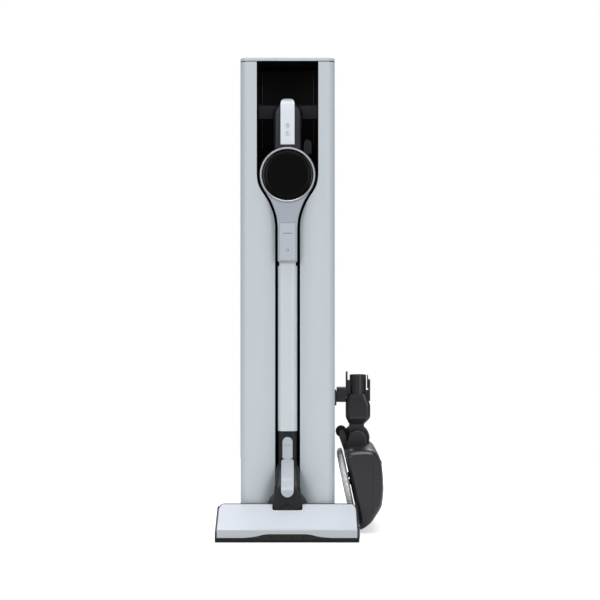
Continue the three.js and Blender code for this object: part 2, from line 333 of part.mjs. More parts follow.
// brush roller with spiral tufts approximated by ribs, and its two end caps
let brushPts = []; for (let i = 0; i < 48; i++) { const a = i * Math.PI / 24; const r = (i % 8 < 2) ? BRUSH_R : BRUSH_R - 2.2; brushPts.push([BRUSH_Y + r * Math.cos(a), BRUSH_Z + r * Math.sin(a)]); }
add("brush_roller", prismX(brushPts, -128, 128).add(cylX(BRUSH_Y, BRUSH_Z, 4, -137.6, 130, 16)).add(cylX(BRUSH_Y, BRUSH_Z, 4, 120, 133, 16)), brushRed);
add("roller_end_cap", prismX(circ(BRUSH_Y, BRUSH_Z, 4.6, 20), 134, 147.2).add(prismX(circ(BRUSH_Y, BRUSH_Z, 12.5, 24), 147.3, 148.8)).add(cylX(BRUSH_Y, BRUSH_Z, 4.6, 146, 148, 20)), darkGrey);
for (const [n, s] of [["rear_wheel_left", -1], ["rear_wheel_right", 1]]) {
  const w = cylX(-147, 9.6, 9.1, 56.4, 65.6, 24).add(cylX(-147, 9.6, 1.8, 51, 71, 12));
  add(n, s > 0 ? w : mirrorX(w), rubber);
}

// ================================================================ POWER-MOP NOZZLE on the tower's right side
const MX = 153, MY = 5;                       // coupler axis
// coupler: round pipe socket on a wider latch body, hanger block with a T-slot on its left
const ms = (w, x0, x1, hy, r = 9) => ({ w, pts: rr(x0, x1, MY - hy, MY + hy, r, 4) });
let coupler = loft([ms(222.6, 133.5, 167, 16), ms(229, 130, 173.5, 18.5), ms(238, 126.6, 179.6, 21), ms(262, 126.4, 179.8, 21), ms(276, 126.4, 175.4, 21), ms(288, 132.5, 173, 19.5, 12)])
  .add(cylZ(MX, MY, 18, 286, 330, 32));
coupler = coupler.add(box(126.4, 130.4, -1, 11, 281, 337)).add(box(129, 138, -2, 12, 282, 318)).add(box(175.6, 179.6, -6, 16, 274, 320)).add(box(168, 177, -4, 14, 272, 296));
coupler = coupler.add(box(106.7, 127.2, -8, 18, 270, 303)).subtract(box(100, 110, 0.6, 9.4, 255, 295.4)).subtract(box(109, 113.5, -3.4, 13.4, 255, 295.4));
coupler = coupler.subtract(cylZ(MX, MY, 15.2, 244, 340, 28));
const EL_Z = 190, EL_X = 150;                   // head tilt axis (along Y)
coupler = coupler.add(box(134, 166, MY - 15, MY + 15, EL_Z, 226)).add(cylY(EL_X, EL_Z, 16, MY - 15, MY + 15, 32)).subtract(cylY(EL_X, EL_Z, 3.2, -20, 30, 16));
add("mop_coupler", coupler, mopDark);
add("mop_latch", box(173.1, 175.3, 0, 10, 300, 320).add(box(173.1, 175.3, 1, 9, 316, 329)).subtract(cylZ(MX, MY, 18.3, 280, 340, 32)), rubber);
// head: deck, tank shell, two counter-turning pads; its sole plane leans 11.5 degrees
const A = 11.5 * Math.PI / 180;
const S0 = [108, 166], dn = [Math.sin(A), -Math.cos(A)], nin = [Math.cos(A), Math.sin(A)]; // down along the sole, and into the head
const sp = (s, d) => [S0[0] + dn[0] * s + nin[0] * d, S0[1] + dn[1] * s + nin[1] * d];
const PAD_T = 11;
// side outline (x, z)
const headProf = [sp(-1, PAD_T + 3), [127, 173.5], [134, 176], [158, 178], [172, 178], [182, 175], [190, 168.5], [195, 160], [198.6, 149], [201, 132], [203, 109], [203.5, 90], [200.5, 60], [190, 40], [178, 21], [166, 11.5], [154, 5], sp(142, PAD_T + 3)];
const tankX = 179.4;
const yE = 130;
const endRound = (pts, y0, y1) => { // softened ends along Y: three steps of a shrunk outline
  const c = pts.reduce((a, p) => [a[0] + p[0] / pts.length, a[1] + p[1] / pts.length], [0, 0]);
  const sh = (k) => pts.map(([x, z]) => [c[0] + (x - c[0]) * k, c[1] + (z - c[1]) * k]);
  const q = ccw(pts).slice();
  const shq = (k) => q.map(([x, z]) => [c[0] + (x - c[0]) * k, c[1] + (z - c[1]) * k]);
  const st = [[y0, 0.8], [y0 + 4, 0.9], [y0 + 12, 0.97], [y0 + 26, 1], [y1 - 26, 1], [y1 - 12, 0.97], [y1 - 4, 0.9], [y1, 0.8]];
  return loft(st.slice().reverse().map(([y, k]) => ({ w: -y, pts: shq(k) })), (u, v, w) => [u, -w, v]);
};
const headFull = endRound(headProf, MY - yE, MY + yE);
// deck: keeps the part left of the tank seam; the tank shell takes the right
let deck = headFull.intersect(box(100, tankX, -200, 200, -20, 260));
for (const s of [1, -1]) { // shoulders that carry the tilt pin, either side of the elbow
  const y0 = s > 0 ? MY + 15.8 : MY - 35.8;
  deck = deck.add(prismY([...circ(EL_X, EL_Z, s > 0 ? 29.5 : 20, 20, -12, 172).map(([x, z]) => [Math.max(x, 123.4), z]), [122, 168], [124, 160], [179.3, 160]], y0, y0 + 20));
}
deck = deck.subtract(box(110, 180, MY - 15.5, MY + 15.5, EL_Z - 1, 260)).subtract(cylY(EL_X, EL_Z, 16.8, MY - 15.5, MY + 15.5, 32)).subtract(prismY([[EL_X, EL_Z], [161.9, 178.4], [190, 209.6], [190, 260], [EL_X, 260]], MY - 15.5, MY + 15.5));
deck = deck.add(cylY(EL_X, EL_Z, 2.8, MY - 17, MY + 17, 16));
// pad drive spindles
const padCy = [MY - 66, MY + 66], PAD_R = 63, padS = 67;
const padC = sp(padS, 0);
const padAxis = [-Math.cos(A), 0, -Math.sin(A)];
const padCyl = (r, d0, d1, cy, seg = 40) => geoToSolid(new THREE.CylinderGeometry(r, r, d1 - d0, seg).rotateZ(-Math.PI / 2).rotateY(-A).translate(
  padC[0] + nin[0] * (d0 + d1) / 2, cy, padC[1] + nin[1] * (d0 + d1) / 2));
for (const cy of padCy) deck = deck.subtract(padCyl(48, PAD_T - 3, 42, cy, 28)).add(padCyl(6, 6, 46, cy, 20));
deck = deck.subtract(box(98, 100 + 4, -200, 200, -20, 260));
// roller bracket behind the sole
const RX = 116.4, RZ = 206, ROLL_BR = [[121, 168], [111.4, 196], [111.4, 208], [117, 211], [122.5, 206], [127, 196], [128, 172]];
deck = deck.add(prismY(ROLL_BR, MY - 23.6, MY - 13)).add(prismY(ROLL_BR, MY + 13, MY + 23.6)).subtract(cylY(RX, RZ, 12.6, MY - 12.6, MY + 12.6, 28)).subtract(cylY(RX, RZ, 2.4, MY - 18.4, MY + 18.4, 12));
add("mop_deck", deck, mopDark);
const tank = headFull.intersect(box(tankX + 0.4, 230, -200, 200, -20, 260)).subtract(box(tankX + 3, 196, MY - 100, MY + 100, 60, 140)).subtract(cylX(MY - 80, 100, 6, 180, 184, 16));
add("mop_tank", tank.subtract(box(tankX, tankX + 4, MY - 6, MY + 6, 94, 106)).add(prismY([[196, 139], [204.8, 142], [204.2, 133], [198, 128]], MY - 14, MY + 14)), clearSmoke);
["mop_pad_front", "mop_pad_rear"].forEach((n, i) => add(n, padCyl(PAD_R, 0, PAD_T, padCy[i], 44).subtract(padCyl(6.5, 5.5, PAD_T + 4, padCy[i], 20)), padCloth));
add("mop_roller", cylY(RX, RZ, 12, MY - 12, MY + 12, 24).add(cylY(RX, RZ, 2, MY - 17.6, MY + 17.6, 12)), rubber);

export default group;
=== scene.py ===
# Cordless stick vacuum in its dock tower, with the spare power-mop nozzle: the looks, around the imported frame.
import bpy, bmesh, json, math, random
from mathutils import Vector, Matrix


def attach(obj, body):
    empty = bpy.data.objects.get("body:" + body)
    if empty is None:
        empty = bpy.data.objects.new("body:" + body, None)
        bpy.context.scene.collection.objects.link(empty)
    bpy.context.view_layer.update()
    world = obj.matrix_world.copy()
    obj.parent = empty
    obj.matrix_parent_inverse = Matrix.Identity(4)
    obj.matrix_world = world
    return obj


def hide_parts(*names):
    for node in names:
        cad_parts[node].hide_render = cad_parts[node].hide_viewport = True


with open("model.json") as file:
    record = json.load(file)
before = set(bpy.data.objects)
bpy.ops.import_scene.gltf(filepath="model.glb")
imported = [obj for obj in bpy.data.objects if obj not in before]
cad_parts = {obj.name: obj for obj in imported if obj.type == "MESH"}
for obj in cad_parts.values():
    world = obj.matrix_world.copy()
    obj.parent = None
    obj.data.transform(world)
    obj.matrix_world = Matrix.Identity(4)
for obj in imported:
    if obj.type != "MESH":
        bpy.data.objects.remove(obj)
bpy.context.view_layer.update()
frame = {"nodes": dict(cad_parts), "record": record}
random.seed(7)
scene = bpy.context.scene
MM = 0.001

# ------------------------------------------------------------------ camera and light
cam_d = bpy.data.cameras.new("camera")
cam = bpy.data.objects.new("camera", cam_d)
scene.collection.objects.link(cam)
DIST = 3.30
cam.location = (0.0263, -0.125 - DIST, 0.493)
cam.rotation_euler = (math.pi / 2, 0, 0)
cam_d.sensor_width = 36
cam_d.lens = 36 * DIST / (600 * 2.107 * MM)
cam_d.clip_end = 60
scene.camera = cam
scene.view_settings.view_transform = "Standard"
scene.view_settings.look = "None"

world = bpy.data.worlds.new("studio")
scene.world = world
world.use_nodes = True
wn = world.node_tree.nodes; wl = world.node_tree.links
wn.clear()
w_out = wn.new("ShaderNodeOutputWorld"); w_mix = wn.new("ShaderNodeMixShader"); w_lp = wn.new("ShaderNodeLightPath")
w_a = wn.new("ShaderNodeBackground"); w_b = wn.new("ShaderNodeBackground")
w_a.inputs[0].default_value = (0.86, 0.90, 0.96, 1); w_a.inputs[1].default_value = 0.36
w_b.inputs[0].default_value = (1, 1, 1, 1); w_b.inputs[1].default_value = 1.0
wl.new(w_lp.outputs["Is Camera Ray"], w_mix.inputs[0]); wl.new(w_a.outputs[0], w_mix.inputs[1]); wl.new(w_b.outputs[0], w_mix.inputs[2])
wl.new(w_mix.outputs[0], w_out.inputs[0])


def area(name, loc, target, sx, sy, power, col=(1, 1, 1)):
    d = bpy.data.lights.new(name, "AREA")
    d.shape = "RECTANGLE"; d.size = sx; d.size_y = sy; d.energy = power; d.color = col
    o = bpy.data.objects.new(name, d)
    scene.collection.objects.link(o)
    o.location = loc
    o.rotation_euler = (Vector(target) - Vector(loc)).to_track_quat("-Z", "Y").to_euler()
    return o


area("key_left", (-1.9, -3.0, 1.5), (0, 0, 0.5), 1.6, 2.4, 37, (1, 0.99, 0.98))
area("key_right", (2.0, -2.95, 1.4), (0, 0, 0.5), 1.5, 2.4, 35, (0.98, 0.99, 1))
area("top", (0, -0.4, 3.2), (0, 0, 0), 2.6, 1.6, 58)
area("front_fill", (0, -4.6, 2.4), (0, 0, 0.45), 1.6, 0.8, 7)
area("back_wash", (0, 3.0, 2.2), (0, 0, 0.6), 3.0, 2.0, 40)

floor_me = bpy.data.meshes.new("floor")
FN = 96
floor_me.from_pydata([(1.5 * math.cos(2 * math.pi * i / FN), 1.5 * math.sin(2 * math.pi * i / FN), 0) for i in range(FN)], [], [tuple(range(FN))])
floor = bpy.data.objects.new("floor", floor_me)
scene.collection.objects.link(floor)


# ------------------------------------------------------------------ materials
def nodes_of(m):
    m.use_nodes = True
    nt = m.node_tree
    return nt, nt.nodes, nt.links, nt.nodes["Principled BSDF"]


def plastic(name, col, rough, metal=0.0, grain=900.0, bump=0.05, var=0.04, rvar=0.05, coat=0.0, coat_rough=0.1, brushed=None, ior=1.5, spec=0.5):
    """Moulded or painted surface: object-space grain drives colour, roughness and a fine bump."""
    m = bpy.data.materials.new(name)
    nt, n, l, b = nodes_of(m)
    tc = n.new("ShaderNodeTexCoord")
    mp = n.new("ShaderNodeMapping")
    l.new(tc.outputs["Object"], mp.inputs["Vector"])
    if brushed:
        mp.inputs["Scale"].default_value = brushed
    big = n.new("ShaderNodeTexNoise"); big.inputs["Scale"].default_value = 6.0; big.inputs["Detail"].default_value = 3.0
    fine = n.new("ShaderNodeTexNoise"); fine.inputs["Scale"].default_value = grain; fine.inputs["Detail"].default_value = 2.0
    l.new(tc.outputs["Object"], big.inputs["Vector"]); l.new(mp.outputs[0], fine.inputs["Vector"])
    ramp = n.new("ShaderNodeMix"); ramp.data_type = "RGBA"; ramp.blend_type = "MIX"
    lo = tuple(max(0.0, c * (1 - var)) for c in col) + (1,)
    hi = tuple(min(1.0, c * (1 + var)) for c in col) + (1,)
    ramp.inputs[6].default_value = lo; ramp.inputs[7].default_value = hi
    add = n.new("ShaderNodeMath"); add.operation = "ADD"
    h = n.new("ShaderNodeMath"); h.operation = "MULTIPLY"; h.inputs[1].default_value = 0.5
    l.new(big.outputs["Fac"], add.inputs[0]); l.new(fine.outputs["Fac"], add.inputs[1]); l.new(add.outputs[0], h.inputs[0])
    l.new(h.outputs[0], ramp.inputs[0]); l.new(ramp.outputs[2], b.inputs["Base Color"])
    mr = n.new("ShaderNodeMapRange")
    mr.inputs["From Min"].default_value = 0.3; mr.inputs["From Max"].default_value = 0.7
    mr.inputs["To Min"].default_value = max(0.02, rough - rvar); mr.inputs["To Max"].default_value = min(1, rough + rvar)
    l.new(h.outputs[0], mr.inputs["Value"]); l.new(mr.outputs[0], b.inputs["Roughness"])
    if bump:
        bp = n.new("ShaderNodeBump"); bp.inputs["Strength"].default_value = bump; bp.inputs["Distance"].default_value = 0.0004
        l.new(fine.outputs["Fac"], bp.inputs["Height"]); l.new(bp.outputs[0], b.inputs["Normal"])
    b.inputs["Metallic"].default_value = metal
    b.inputs["IOR"].default_value = ior
    b.inputs["Specular IOR Level"].default_value = spec
    if coat:
        b.inputs["Coat Weight"].default_value = coat; b.inputs["Coat Roughness"].default_value = coat_rough
    return m


def cloth(name, col, col2, scale=500.0, bump=0.6):
    m = bpy.data.materials.new(name)
    nt, n, l, b = nodes_of(m)
    tc = n.new("ShaderNodeTexCoord")
    v = n.new("ShaderNodeTexVoronoi"); v.inputs["Scale"].default_value = scale
    w = n.new("ShaderNodeTexNoise"); w.inputs["Scale"].default_value = scale * 0.35; w.inputs["Detail"].default_value = 4
    l.new(tc.outputs["Object"], v.inputs["Vector"]); l.new(tc.outputs["Object"], w.inputs["Vector"])
    mix = n.new("ShaderNodeMix"); mix.data_type = "RGBA"
    mix.inputs[6].default_value = col + (1,); mix.inputs[7].default_value = col2 + (1,)
    l.new(v.outputs["Distance"], mix.inputs[0]); l.new(mix.outputs[2], b.inputs["Base Color"])
    add = n.new("ShaderNodeMath"); add.operation = "ADD"
    l.new(v.outputs["Distance"], add.inputs[0]); l.new(w.outputs["Fac"], add.inputs[1])
    bp = n.new("ShaderNodeBump"); bp.inputs["Strength"].default_value = bump; bp.inputs["Distance"].default_value = 0.0012
    l.new(add.outputs[0], bp.inputs["Height"]); l.new(bp.outputs[0], b.inputs["Normal"])
    b.inputs["Roughness"].default_value = 0.95
    b.inputs["Sheen Weight"].default_value = 0.5
    b.inputs["Sheen Roughness"].default_value = 0.5
    return m


SILVER = plastic("tower_silver", (0.520, 0.560, 0.590), 0.50, 0.06, 1400, 0.05, 0.03, 0.04, 0.05, 0.35)
BLACK = plastic("recess_black", (0.0036, 0.0034, 0.0040), 0.6, 0, 700, 0.10, 0.15, 0.08, spec=0.16)
LIGHT = plastic("light_silver", (0.70, 0.735, 0.78), 0.42, 0.1, 1500, 0.04, 0.025, 0.04, 0.08, 0.25)
NECKM = plastic("neck_silver", (0.365, 0.395, 0.435), 0.42, 0.12, 1500, 0.04, 0.025, 0.04, 0.05, 0.25)
PIPE = plastic("pipe_silver", (0.575, 0.615, 0.635), 0.46, 0.1, 900, 0.05, 0.03, 0.05, 0, 0.1, (1, 1, 0.03))
RINGM = plastic("ring_silver", (0.52, 0.52, 0.54), 0.28, 0.6, 1500, 0.03, 0.02, 0.04, 0.2, 0.2)
DARK = plastic("dark_grey", (0.033, 0.034, 0.039), 0.36, 0.05, 1100, 0.10, 0.08, 0.07, spec=0.45)
DARKER = plastic("dark_neck", (0.0095, 0.0110, 0.0130), 0.38, 0.0, 1100, 0.09, 0.08, 0.07, spec=0.28)
DOCK = plastic("dock_grey", (0.028, 0.026, 0.034), 0.40, 0, 1000, 0.09, 0.1, 0.06, spec=0.45)
GLOSS = plastic("gloss_black", (0.0012, 0.0012, 0.0012), 0.14, 0, 600, 0.01, 0.1, 0.03, spec=0.16)
RUBBER = plastic("rubber_black", (0.0065, 0.0065, 0.0065), 0.7, 0, 1300, 0.22, 0.12, 0.08, spec=0.25)
MOP = plastic("mop_dark", (0.0115, 0.0108, 0.0130), 0.30, 0.0, 1200, 0.08, 0.08, 0.06, spec=0.6)
SMOKE = plastic("tank_smoke", (0.020, 0.021, 0.024), 0.2, 0.0, 800, 0.03, 0.1, 0.05, 0.3, 0.1)
INNER = plastic("inner_grey", (0.05, 0.053, 0.057), 0.6, 0, 900, 0.12, 0.08, 0.06)
BOARD = plastic("board_green", (0.02, 0.12, 0.05), 0.45, 0, 500, 0.12, 0.25, 0.08)
PAPER = cloth("filter_paper", (0.76, 0.73, 0.66), (0.62, 0.59, 0.52), 900, 0.35)
STEEL = plastic("brushed_steel", (0.55, 0.56, 0.58), 0.3, 1.0, 900, 0.06, 0.06, 0.08, 0, 0.1, (1, 1, 0.03))
BRASS = plastic("contact_brass", (0.75, 0.55, 0.2), 0.3, 1.0, 900, 0.05, 0.06, 0.06)
BRUSH = cloth("brush_nylon", (0.14, 0.15, 0.16), (0.05, 0.05, 0.055), 1200, 0.7)
PAD = cloth("pad_microfibre", (0.36, 0.365, 0.36), (0.86, 0.86, 0.85), 300, 1.0)
PADEDGE = cloth("pad_edge", (0.10, 0.105, 0.10), (0.26, 0.265, 0.26), 420, 0.8)
LAMP = plastic("lamp_window", (0.0085, 0.0088, 0.0050), 0.16, 0.0, 600, 0.02, 0.1, 0.03, spec=0.3)
LEVM = plastic("lever_silver", (0.44, 0.47, 0.505), 0.42, 0.12, 1500, 0.04, 0.025, 0.04, 0.08, 0.25)
BTNM = plastic("button_silver", (0.465, 0.495, 0.54), 0.42, 0.12, 1500, 0.04, 0.025, 0.04, 0.08, 0.25)
COVM = plastic("cover_silver", (0.64, 0.675, 0.715), 0.46, 0.06, 1500, 0.04, 0.025, 0.04, 0.05, 0.25)
# darker copy of the cover silver: painted shade for the front lip of the nozzle cover
COVER_PAINTED_SHADE_M = plastic("cover_silver_painted_shade", (0.43, 0.455, 0.475), 0.46, 0.06, 1500, 0.04, 0.025, 0.04, 0.05, 0.25)
BATM = plastic("battery_grey", (0.050, 0.051, 0.060), 0.34, 0.05, 1100, 0.08, 0.07, 0.06, spec=0.6)
YOKEM = plastic("yoke_grey", (0.062, 0.066, 0.072), 0.45, 0.0, 1100, 0.09, 0.08, 0.07, spec=0.4)
MARK = plastic("mark_grey", (0.19, 0.195, 0.21), 0.5, 0.0, 900, 0.03, 0.05, 0.05)
DARKGAP = plastic("seam_black", (0.02, 0.02, 0.022), 0.6, 0.0, 900, 0.05, 0.05, 0.05)
FLOORM = plastic("floor_pale", (0.93, 0.93, 0.93), 0.9, 0, 40, 0.0, 0.004, 0.02)
fb = FLOORM.node_tree.nodes["Principled BSDF"]
fb.inputs["Emission Color"].default_value = (1, 1, 1, 1)
f_lp = FLOORM.node_tree.nodes.new("ShaderNodeLightPath"); f_m = FLOORM.node_tree.nodes.new("ShaderNodeMath")
f_m.operation = "MULTIPLY"; f_m.inputs[1].default_value = 0.5
FLOORM.node_tree.links.new(f_lp.outputs["Is Camera Ray"], f_m.inputs[0]); FLOORM.node_tree.links.new(f_m.outputs[0], fb.inputs["Emission Strength"])
floor_me.materials.append(FLOORM)


# ------------------------------------------------------------------ mesh tools (all in mm, scaled at the end)
def area2(p):
    return sum(p[i][0] * p[(i + 1) % len(p)][1] - p[(i + 1) % len(p)][0] * p[i][1] for i in range(len(p)))


def ccw(p):
    return list(reversed(p)) if area2(p) < 0 else list(p)


def rr(u0, u1, v0, v1, r, seg=8):
    out = []
    for cu, cv, a0 in ((u1 - r, v0 + r, -90), (u1 - r, v1 - r, 0), (u0 + r, v1 - r, 90), (u0 + r, v0 + r, 180)):
        for i in range(seg + 1):
            a = math.radians(a0 + 90 * i / seg)
            out.append((cu + r * math.cos(a), cv + r * math.sin(a)))
    return out


def circ(cu, cv, r, n=64, a0=0.0, a1=360.0):
    full = a1 - a0 >= 360
    return [(cu + r * math.cos(math.radians(a0 + (a1 - a0) * i / n)), cv + r * math.sin(math.radians(a0 + (a1 - a0) * i / n))) for i in range(n + (0 if full else 1))]


def smooth_path(pts, sub=8):
    """Catmull-Rom through open points."""
    out = []
    P = [pts[0]] + list(pts) + [pts[-1]]
    for i in range(1, len(P) - 2):
        p0, p1, p2, p3 = P[i - 1], P[i], P[i + 1], P[i + 2]
        for s in range(sub):
            t = s / sub
            out.append(tuple(0.5 * ((2 * p1[k]) + (-p0[k] + p2[k]) * t + (2 * p0[k] - 5 * p1[k] + 4 * p2[k] - p3[k]) * t * t + (-p0[k] + 3 * p1[k] - 3 * p2[k] + p3[k]) * t ** 3) for k in (0, 1)))
    out.append(tuple(pts[-1]))
    return out


PLACE = {"Z": lambda u, v, w: (u, v, w), "Y": lambda u, v, w: (u, -w, v), "X": lambda u, v, w: (w, u, v)}


def new_obj(name, verts, faces):
    me = bpy.data.meshes.new(name)
    me.from_pydata([tuple(c * MM for c in v) for v in verts], [], faces)
    me.update()
    o = bpy.data.objects.new(name, me)
    scene.collection.objects.link(o)
    return o


def loft(name, sections, axis="Z"):
    """sections [(w, outline)], equal counts, w rising along +Z, +X, or -Y (axis Y takes w = -y)."""
    pl = PLACE[axis]
    n = len(sections[0][1])
    v = [pl(u, vv, w) for w, pts in sections for u, vv in pts]
    f = []
    for k in range(len(sections) - 1):
        for i in range(n):
            j = (i + 1) % n
            f.append((k * n + i, k * n + j, (k + 1) * n + j, (k + 1) * n + i))
    f.append(tuple(reversed(range(n))))
    f.append(tuple(range((len(sections) - 1) * n, len(sections) * n)))
    return new_obj(name, v, f)


def prism(axis, pts, a0, a1, name="t"):
    p = ccw(pts)
    if axis == "Y":
        return loft(name, [(-a1, p), (-a0, p)], "Y")
    return loft(name, [(a0, p), (a1, p)], axis)


def box(x0, x1, y0, y1, z0, z1):
    return prism("Z", [(x0, y0), (x1, y0), (x1, y1), (x0, y1)], z0, z1)


def cyl(axis, cu, cv, r, a0, a1, n=64):
    return prism(axis, circ(cu, cv, r, n), a0, a1)


def lathe(name, prof, axis, cu, cv, seg=96):
    """prof [(r, h)], from axis to axis or closed; h along the axis."""
    bm = bmesh.new()
    rings = []
    for r, h in prof:
        if r < 1e-6:
            rings.append([bm.verts.new(PLACE[axis](cu, cv, -h if axis == "Y" else h))])
        else:
            rings.append([bm.verts.new(PLACE[axis](cu + r * math.cos(2 * math.pi * i / seg), cv + r * math.sin(2 * math.pi * i / seg), -h if axis == "Y" else h)) for i in range(seg)])
    closed = prof[0] == prof[-1]
    if closed:
        for x in rings[-1]:
            bm.verts.remove(x)
        rings[-1] = rings[0]
    for a, b in zip(rings, rings[1:]):
        for i in range(seg):
            j = (i + 1) % seg
            if len(a) == 1 and len(b) == 1:
                continue
            if len(a) == 1:
                bm.faces.new((a[0], b[i], b[j]))
            elif len(b) == 1:
                bm.faces.new((a[i], b[0], a[j]))
            else:
                bm.faces.new((a[i], b[i], b[j], a[j]))
    bmesh.ops.recalc_face_normals(bm, faces=bm.faces)
    for x in bm.verts:
        x.co *= MM
    me = bpy.data.meshes.new(name)
    bm.to_mesh(me); bm.free()
    o = bpy.data.objects.new(name, me)
    scene.collection.objects.link(o)
    return o


def boolean(a, b, op="DIFFERENCE"):
    m = a.modifiers.new("b", "BOOLEAN")
    m.operation = op; m.solver = "EXACT"; m.object = b
    dg = bpy.context.evaluated_depsgraph_get()
    me = bpy.data.meshes.new_from_object(a.evaluated_get(dg))
    a.modifiers.clear()
    old = a.data
    a.data = me
    bpy.data.meshes.remove(old)
    bpy.data.objects.remove(b)
    return a


def cut(a, *bs):
    for b in bs:
        boolean(a, b, "DIFFERENCE")
    return a


def join(a, *bs):
    for b in bs:
        boolean(a, b, "UNION")
    return a


def keep(a, b):
    return boolean(a, b, "INTERSECT")


def finish_mesh(o, name, mat, bevel=0.6, seg=3, angle=32, sharp=32):
    """Names the piece, welds, bevels its edges with hardened normals and shades it smooth."""
    o.name = name; o.data.name = name
    bm = bmesh.new(); bm.from_mesh(o.data)
    bmesh.ops.remove_doubles(bm, verts=bm.verts, dist=2e-6)
    bmesh.ops.dissolve_degenerate(bm, dist=2e-6, edges=bm.edges)
    bmesh.ops.recalc_face_normals(bm, faces=bm.faces)
    for f in bm.faces:
        f.smooth = True
    bm.to_mesh(o.data); bm.free()
    if bevel:
        m = o.modifiers.new("bevel", "BEVEL")
        m.width = bevel * MM; m.segments = seg; m.limit_method = "ANGLE"; m.angle_limit = math.radians(angle)
        m.use_clamp_overlap = True; m.harden_normals = False; m.miter_outer = "MITER_ARC"
        dg = bpy.context.evaluated_depsgraph_get()
        me = bpy.data.meshes.new_from_object(o.evaluated_get(dg))
        o.modifiers.clear()
        old = o.data; o.data = me; bpy.data.meshes.remove(old); me.name = name
    me = o.data
    bm = bmesh.new(); bm.from_mesh(me)
    for f in bm.faces:
        f.smooth = True
    lim = math.radians(sharp)
    for e in bm.edges:
        if len(e.link_faces) == 2:
            e.smooth = e.calc_face_angle(0) < lim
    bm.to_mesh(me); bm.free()
    w = o.modifiers.new("wn", "WEIGHTED_NORMAL"); w.keep_sharp = True; w.weight = 60
    me.materials.clear(); me.materials.append(mat)
    return o


NODE_BODY = {n: b for b, ns in frame["record"]["behaviour"]["bodies"].items() for n in ns}


def stand_for(o, node):
    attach(o, NODE_BODY[node])
    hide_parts(node)


def trim(o, body):
    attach(o, body)


# ------------------------------------------------------------------ shared dimensions (mm)
FRONT, BACK, TOWER_H = -125.0, 125.0, 1005.0
CZ = 757.0
PY = -96.0


def ease(u):
    u = min(1.0, max(0.0, u))
    return u * u * (3 - 2 * u)


def scoop_depth(z):
    return 18.0 * (1 - ease((z - 690) / 62.0))


def scoop_at(x):
    return min(1.0, max(0.0, (79 - abs(x)) / 52.5)) ** 1.6


SX = [-80 + i * 2.5 for i in range(65)]


def plan(z, t=0.0, scoop=True, seg=12):
    w, f, b, rf, rb = 100 - t, FRONT + t, BACK - t, 20 - t, 25 - t
    out = [(x, f + (scoop_depth(z) * scoop_at(x) if scoop else 0)) for x in SX]
    for cx, cy, r, a0, skip in ((w - rf, f + rf, rf, -90, 1), (w - rb, b - rb, rb, 0, 0), (-w + rb, b - rb, rb, 90, 0), (-w + rf, f + rf, rf, 180, 0)):
        for i in range(skip, seg + 1 - (1 if a0 == 180 else 0)):
            a = math.radians(a0 + 90 * i / seg)
            out.append((cx + r * math.cos(a), cy + r * math.sin(a)))
    return out


def tower_body(z0, z1, t, name="t"):
    zs = [z0] + [686 + 4 * i for i in range(18)] + [z1]
    return loft(name, [(z, plan(z, t)) for z in zs])


KEYC = smooth_path([(26.5, 636), (26.7, 652), (28.6, 668), (33.2, 684), (40.2, 700), (48.8, 714), (56.8, 726), (62.6, 740), (65.0, 757)], 6)


def keyhole(g, z0, z1):
    r = [(26.5 + g, z0)] + [(x + g, z) for x, z in KEYC if z > z0 + 0.2] + [(65 + g, z1)]
    return r + [(-x, z) for x, z in reversed(r)]


# ------------------------------------------------------------------ tower
shell = tower_body(6, 995.5, 0, "tower_shell_v")
cut(shell, tower_body(-5, 1010, 3), prism("Y", keyhole(0, -20, 1100), -150, -90))
for i in range(6):
    cut(shell, prism("Y", rr(-45, 45, 64 + i * 9, 68.5 + i * 9, 2.2, 4), 115, 130))
cut(shell, prism("Y", rr(-62, -38, 22, 46, 3, 4), 115, 130))
# a service-panel joint line on the rear wall
groove = prism("Y", rr(-84, 84, 40, 600, 8, 6), 124.3, 126)
cut(groove, prism("Y", rr(-83.2, 83.2, 40.8, 599.2, 7.4, 6), 120, 130))
cut(shell, groove)
finish_mesh(shell, "tower_shell_skin", SILVER, 0.9, 3, 40)
stand_for(shell, "tower_shell")

liner = prism("Y", keyhole(2.5, 12, 994.5), -130, -55.5)
join(liner, prism("Y", keyhole(2.5, 640, 994.5), -130, 16.5))
keep(liner, tower_body(14, 994.5, 3.3))
cut(liner, prism("Y", keyhole(0, -20, 1100), -150, -58), prism("Y", keyhole(0, 642.5, 1100), -150, 14),
    cyl("Y", 0, CZ, 56, 0, 40), box(-35, 35, 0, 40, 692, 735))
finish_mesh(liner, "recess_liner_skin", BLACK, 0.5, 2, 40)
stand_for(liner, "recess_liner")
# raised back panel of the recess, with its two upright edges
panel = prism("Y", rr(-54, 54, 826, 990, 3, 4), 11.4, 13.9)
finish_mesh(panel, "recess_back_panel", BLACK, 0.8, 3)
trim(panel, "tower")
for s, nm in ((-1, "left"), (1, "right")):
    st = prism("Y", rr(*(sorted((s * 55.2, s * 57.0))), 826, 990, 0.8, 3), 9.5, 13.9)
    finish_mesh(st, "recess_rail_" + nm, DOCK, 0.5, 2)
    trim(st, "tower")

LZ = 997.0


def lid_full():
    prof = [(LZ, 0.8), (LZ + 0.5, 0.2), (LZ + 1.2, 0), (LZ + 5.2, 0), (LZ + 6.2, 0.3), (LZ + 7.2, 1.1), (LZ + 7.8, 2.2), (TOWER_H, 3.6)]
    return loft("t", [(z, plan(2000, t, False)) for z, t in prof])


